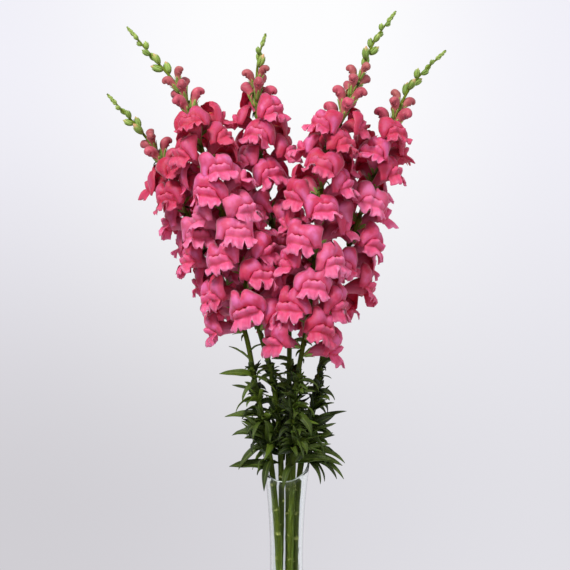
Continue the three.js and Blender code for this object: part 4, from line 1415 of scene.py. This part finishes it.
class PetalSettings(bpy.types.PropertyGroup):
    """Sizes and colours of the open florets."""

    thickness: amount("Thickness", "Thickness of a petal at the tube's root", 0.0006, "LENGTH")
    ruffle: amount("Ruffle", "How far the petals' margins wave", 1.0)
    hood_colour: tint("Hood", "the upper petal", 204, 48, 88)
    lip_colour: tint("Lip", "the lower petal", 226, 78, 126)
    tube_colour: tint("Tube", "the tube", 214, 98, 134)
    # This colour also carries painted shade, in the petals' folds and on the lowest florets.
    shade_colour: tint("Shade", "veins, folds and darker florets", 172, 22, 44)
    edge_colour: tint("Edge", "the margins and of paler florets", 246, 138, 178)
    # Painted highlight on the hoods' crests.
    crest_highlight_colour: tint("Crest", "the paler patches on the hoods", 240, 122, 184)
    mouth_colour: tint("Mouth", "the spots at the mouth", 238, 176, 60)


class FoliageSettings(bpy.types.PropertyGroup):
    """Sizes and colours of the leaves and stems."""

    leaf_thickness: amount("Leaf thickness", "Thickness of a leaf's blade", 0.0006, "LENGTH")
    leaf_fold: amount("Leaf fold", "How far a leaf is folded along its midrib", 0.45)
    rib: amount("Ribs", "How far the stems are ribbed, as a share of their radius", 0.045)
    hair_length: amount("Hair length", "Length of a hair on the upper stems", 0.00075, "LENGTH")
    leaf_dark: tint("Dark leaf", "old leaves", 26, 38, 8)
    leaf_light: tint("Light leaf", "young leaves", 84, 104, 22)
    rib_colour: tint("Rib", "midribs and of streaks on the stems", 116, 136, 54)
    stem_colour: tint("Stem", "the stems below the flowers", 64, 78, 1)
    stem_young: tint("Young stem", "the stems among the flowers", 98, 114, 20)
    scar_colour: tint("Scars", "the scars that shed leaves leave on the stems", 186, 192, 112)
    hair_colour: tint("Hairs", "the hairs on the upper stems", 196, 206, 150)


class BudSettings(bpy.types.PropertyGroup):
    """Sizes and colours of the buds and calyces."""

    sepal_thickness: amount("Sepal thickness", "Thickness of a sepal", 0.00045, "LENGTH")
    crease: amount("Crease", "How deep the shut mouth of a closed flower is", 0.45)
    green: tint("Bud", "the darker parts of the green buds", 104, 136, 50)
    pale: tint("Pale bud", "the paler parts of the green buds", 168, 184, 96)
    blush: tint("Blush", "the blush at the green buds' tips", 206, 150, 110)
    sepal: tint("Sepal", "the paler parts of the sepals", 134, 162, 66)
    bud_tube: tint("Bud tube", "a closed flower's tube", 206, 134, 108)
    rose: tint("Rose bud", "the lowest closed flowers", 206, 72, 104)
    rose_young: tint("Young rose bud", "the highest closed flowers", 168, 84, 82)
    # Also paints the shade in the closed flowers' shut mouths.
    rose_dark_and_painted_shade: tint("Dark rose bud", "the darker parts of the closed flowers", 146, 44, 62)


class VaseSettings(bpy.types.PropertyGroup):
    """Colours and finish of the vase and its water."""

    glass_tint: tint("Glass", "the glass", 250, 253, 252)
    # Painted light: the rim's pale colour stands in for the light that runs up inside the glass.
    rim_glow_colour: tint("Rim", "the glass's cut edge", 226, 238, 230)
    water_tint: tint("Water", "the water", 246, 250, 249)
    ripple: amount("Ripple", "How far the glass waves", 0.015)
    water_ripple: amount("Water ripple", "How far the water waves", 0.05)


class StageSettings(bpy.types.PropertyGroup):
    """The light, the floor and the backdrop."""

    key: amount("Key", "Light from the left", 44, "POWER")
    fill: amount("Fill", "Light from the right", 12, "POWER")
    edge: amount("Edge", "Light from behind, on each side", 0.6, "POWER")
    ambient: amount("Ambient", "Share of the backdrop's light that falls on the flowers", 0.62)
    top_colour: tint("Top", "the backdrop above", 253, 253, 254)
    top_side_colour: tint("Top sides", "the backdrop above, to the sides", 241, 240, 248)
    # Painted shadow on the backdrop, also mixed into the floor's grain.
    low_left_colour: tint("Low left", "the backdrop at the bottom left", 208, 206, 211)
    low_right_colour: tint("Low right", "the backdrop at the bottom right", 225, 224, 230)
    floor_colour: tint("Floor", "the floor", 226, 225, 229)


class PlantPieces:
    """What the operators for the plants' pieces share."""

    bl_options = {"REGISTER", "UNDO"}

    def build(self, settings, slot, finishes, fills, replaced=None):
        """One piece for each plant and each named fill, which is a function that adds its shapes."""
        materials = [finish(settings) for finish in finishes]
        for name, fill in fills.items():
            for plant in BUNCH:
                replaces = [f"{replaced}_{plant.name}"] if replaced else []
                piece = Piece(f"{name}_{plant.name}", slot, materials, replaces)
                fill(piece, plant, settings)
                piece.build()
        return {"FINISHED"}


class SNAPDRAGON_OT_florets(PlantPieces, bpy.types.Operator):
    """Build the open florets of every stem"""

    bl_idname = "snapdragon.florets"
    bl_label = "Florets"

    def execute(self, context):
        petals = context.scene.snapdragon_petals
        return self.build(petals, "petal", [petal_material], {"florets": add_florets}, "raceme")


class SNAPDRAGON_OT_pink_buds(PlantPieces, bpy.types.Operator):
    """Build the closed flowers above the open ones"""

    bl_idname = "snapdragon.pink_buds"
    bl_label = "Closed flowers"

    def execute(self, context):
        buds = context.scene.snapdragon_buds
        return self.build(buds, "petal", [pink_bud_material], {"pink_buds": add_pink_buds})


class SNAPDRAGON_OT_green_buds(PlantPieces, bpy.types.Operator):
    """Build the green buds at the tips"""

    bl_idname = "snapdragon.green_buds"
    bl_label = "Green buds"

    def execute(self, context):
        buds = context.scene.snapdragon_buds
        finishes = [bud_material, sepal_material]
        return self.build(buds, "green_bud", finishes, {"green_buds": add_green_buds}, "bud_tip")


class SNAPDRAGON_OT_calyces(PlantPieces, bpy.types.Operator):
    """Build the sepals and short stalks that hold the flowers"""

    bl_idname = "snapdragon.calyces"
    bl_label = "Calyces"

    def execute(self, context):
        buds = context.scene.snapdragon_buds
        return self.build(buds, "green_stem", [sepal_material], {"calyces": add_calyces})


class SNAPDRAGON_OT_stalks(PlantPieces, bpy.types.Operator):
    """Build the stems"""

    bl_idname = "snapdragon.stalks"
    bl_label = "Stems"

    def execute(self, context):
        foliage = context.scene.snapdragon_foliage
        return self.build(foliage, "green_stem", [stem_material], {"stalk": add_stalk}, "stem")


class SNAPDRAGON_OT_hairs(PlantPieces, bpy.types.Operator):
    """Build the short hairs on the upper stems"""

    bl_idname = "snapdragon.hairs"
    bl_label = "Hairs"

    def execute(self, context):
        foliage = context.scene.snapdragon_foliage
        return self.build(foliage, "green_stem", [hair_material], {"hairs": add_hairs})


class SNAPDRAGON_OT_leaves(PlantPieces, bpy.types.Operator):
    """Build the leaves, the young shoots, the bracts under the flowers and the feet of shed leaves"""

    bl_idname = "snapdragon.leaves"
    bl_label = "Leaves"

    def execute(self, context):
        foliage = context.scene.snapdragon_foliage
        fills = {"leaves": add_leaves, "shoots": add_shoots, "bracts": add_bracts, "leaf_stubs": add_stubs}
        return self.build(foliage, "green_stem", [leaf_material], fills)


class SNAPDRAGON_OT_vase(bpy.types.Operator):
    """Build the glass vase and the water in it"""

    bl_idname = "snapdragon.vase"
    bl_label = "Vase and water"
    bl_options = {"REGISTER", "UNDO"}

    def execute(self, context):
        """Light goes through the glass and the water, so they cast no shadow."""
        vase = context.scene.snapdragon_vase
        clear = clear_material("clear_glass", vase.glass_tint, 24, 1, 0.012, vase.ripple, GLASS_IOR)
        glass = Piece("vase_glass", "glass", [clear, rim_glow_material(vase)], ["vase"])
        glass.add_skins(vase_rings()[None], traits(0))
        glass.finish = mark_rim(glass.finish)
        clear = clear_material("clear_water", vase.water_tint, 40, 2, 0.01, vase.water_ripple, WATER_IOR)
        water = Piece("water_body", "water", [clear], ["water"])
        water.add_skins(water_rings()[None], traits(0))
        for piece in (glass, water):
            piece.build().visible_shadow = False
        return {"FINISHED"}


# The stage, in metres. Each lamp has its place, the point that it shines at, its size and its shade. The
# start of its name is the name of its power.
STAGE_RADIUS = 0.9
CAMERA_PLACE = (-0.00165, -2.0, 0.484)
CAMERA_LENS = 114.8
ROOM_DARKNESS = 0.95
LAMPS = {
    "key": ((-0.9, -1.3, 1.9), (0, 0, 0.5), (0.6, 0.6), (1, 0.99, 0.98)),
    "fill": ((1.5, -1.2, 1.2), (0, 0, 0.5), (1.2, 1.2), (0.97, 0.98, 1)),
    "edge_left": ((-1.2, 0.9, 0.6), (0, 0, 0.6), (0.12, 2), (1, 1, 1)),
    "edge_right": ((1.2, 0.9, 0.6), (0, 0, 0.6), (0.12, 2), (1, 1, 1)),
}


def add_light(name, power, place, target, size, shade):
    light = bpy.data.lights.new(name, "AREA")
    light.shape = "ELLIPSE" if size[0] == size[1] else "RECTANGLE"
    light.size, light.size_y = size
    light.energy = power
    light.color = shade
    lamp = linked(name, light)
    lamp.location = place
    lamp.rotation_euler = (Vector(target) - Vector(place)).to_track_quat("-Z", "Y").to_euler()
    return lamp


def add_camera():
    """The photograph's viewing angle: level, from the front."""
    camera = bpy.data.cameras.new("photo_camera")
    camera.lens = CAMERA_LENS
    camera.clip_end = 20
    holder = linked("photo_camera", camera)
    holder.location = CAMERA_PLACE
    holder.rotation_euler = (math.pi / 2, 0, 0)
    bpy.context.scene.camera = holder


def add_floor(settings):
    """A round pale floor that fades out towards its edge."""
    mesh = bpy.data.meshes.new("floor")
    mesh.from_pydata(level_directions(circle(VASE_SIDES)) * STAGE_RADIUS, [], [list(range(VASE_SIDES))])
    graph = material_graph("pale_floor")
    places = graph.object_places()
    radius = graph.node("ShaderNodeVectorMath", {"operation": "LENGTH"}, {0: places}, "Value")
    grain = graph.noise(30, 3, places)
    base = graph.mix(grain * 0.1, settings.floor_colour, settings.low_left_colour)
    fade = graph.step(STAGE_RADIUS, STAGE_RADIUS / 2, radius)
    mesh.materials.append(graph.surface(Base_Color=base, Roughness=0.6 + 0.1 * grain, Alpha=fade))
    return linked("floor", mesh)


def set_world(settings):
    """The backdrop: near white above and grey below, a little lighter at the right; the grey below, darkest
    at the lower left, is painted shadow on the backdrop. What it casts on the flowers is a share of what is
    seen of it, and what glass shows of the room in front is darker."""
    world = bpy.data.worlds.new("studio")
    bpy.context.scene.world = world
    graph = Graph(world)
    direction = graph.node("ShaderNodeTexCoord", {}, {}, "Generated")
    across, behind, up = graph.outputs("ShaderNodeSeparateXYZ", {}, {0: direction}, "X", "Y", "Z")
    # Painted shadow: the backdrop's lower part is grey, darkest at the left.
    low = graph.mix(graph.step(-0.16, 0.16, across), settings.low_left_colour, settings.low_right_colour)
    top = graph.mix(graph.step(0.02, 0.16, abs(across)), settings.top_colour, settings.top_side_colour)
    seen = graph.mix(graph.step(-0.13, 0.13, up), low, top)
    rays = ("Is Camera Ray", "Is Transmission Ray", "Is Glossy Ray")
    camera, through, glossy = graph.outputs("ShaderNodeLightPath", {}, {}, *rays)
    room = 1 - graph.step(0.3, -0.2, behind) * ROOM_DARKNESS
    cast = settings.ambient * (1 - glossy * (1 - room))
    strength = cast + (1 - settings.ambient) * (camera + through * room).clamp()
    light = graph.node("ShaderNodeBackground", {}, {"Color": seen, "Strength": strength})
    graph.node("ShaderNodeOutputWorld", {}, {"Surface": light})


class SNAPDRAGON_OT_stage(bpy.types.Operator):
    """Set up the floor, the backdrop, the lights and the camera"""

    bl_idname = "snapdragon.stage"
    bl_label = "Stage"
    bl_options = {"REGISTER", "UNDO"}

    def execute(self, context):
        stage = context.scene.snapdragon_stage
        lamps = [add_light(name, getattr(stage, name.split("_")[0]), *facts) for name, facts in LAMPS.items()]
        add_floor(stage)
        add_camera()
        set_world(stage)
        context.scene.view_settings.view_transform = "Standard"
        return {"FINISHED"}


SETTINGS = {
    "snapdragon_petals": PetalSettings,
    "snapdragon_foliage": FoliageSettings,
    "snapdragon_buds": BudSettings,
    "snapdragon_vase": VaseSettings,
    "snapdragon_stage": StageSettings,
}
OPERATORS = (
    SNAPDRAGON_OT_vase,
    SNAPDRAGON_OT_stalks,
    SNAPDRAGON_OT_leaves,
    SNAPDRAGON_OT_hairs,
    SNAPDRAGON_OT_calyces,
    SNAPDRAGON_OT_florets,
    SNAPDRAGON_OT_pink_buds,
    SNAPDRAGON_OT_green_buds,
    SNAPDRAGON_OT_stage,
)


class SNAPDRAGON_PT_panel(bpy.types.Panel):
    """The pieces and their settings in the 3D view's sidebar"""

    bl_idname = "SNAPDRAGON_PT_panel"
    bl_label = "Snapdragons"
    bl_space_type = "VIEW_3D"
    bl_region_type = "UI"
    bl_category = "Snapdragons"

    def draw(self, context):
        for operator in OPERATORS:
            self.layout.operator(operator.bl_idname)
        for key, group in SETTINGS.items():
            box = self.layout.box()
            box.label(text=group.__doc__)
            for name in group.__annotations__:
                box.prop(getattr(context.scene, key), name)


CLASSES = (*SETTINGS.values(), *OPERATORS, SNAPDRAGON_PT_panel)


def register():
    for kind in CLASSES:
        bpy.utils.register_class(kind)
    for key, group in SETTINGS.items():
        setattr(bpy.types.Scene, key, bpy.props.PointerProperty(type=group))


def unregister():
    for key in SETTINGS:
        delattr(bpy.types.Scene, key)
    for kind in reversed(CLASSES):
        bpy.utils.unregister_class(kind)


def main():
    register()
    bpy.ops.snapdragon.vase()
    bpy.ops.snapdragon.stalks()
    bpy.ops.snapdragon.leaves()
    bpy.ops.snapdragon.hairs()
    bpy.ops.snapdragon.calyces()
    bpy.ops.snapdragon.florets()
    bpy.ops.snapdragon.pink_buds()
    bpy.ops.snapdragon.green_buds()
    bpy.ops.snapdragon.stage()


if __name__ == "__main__":
    main()
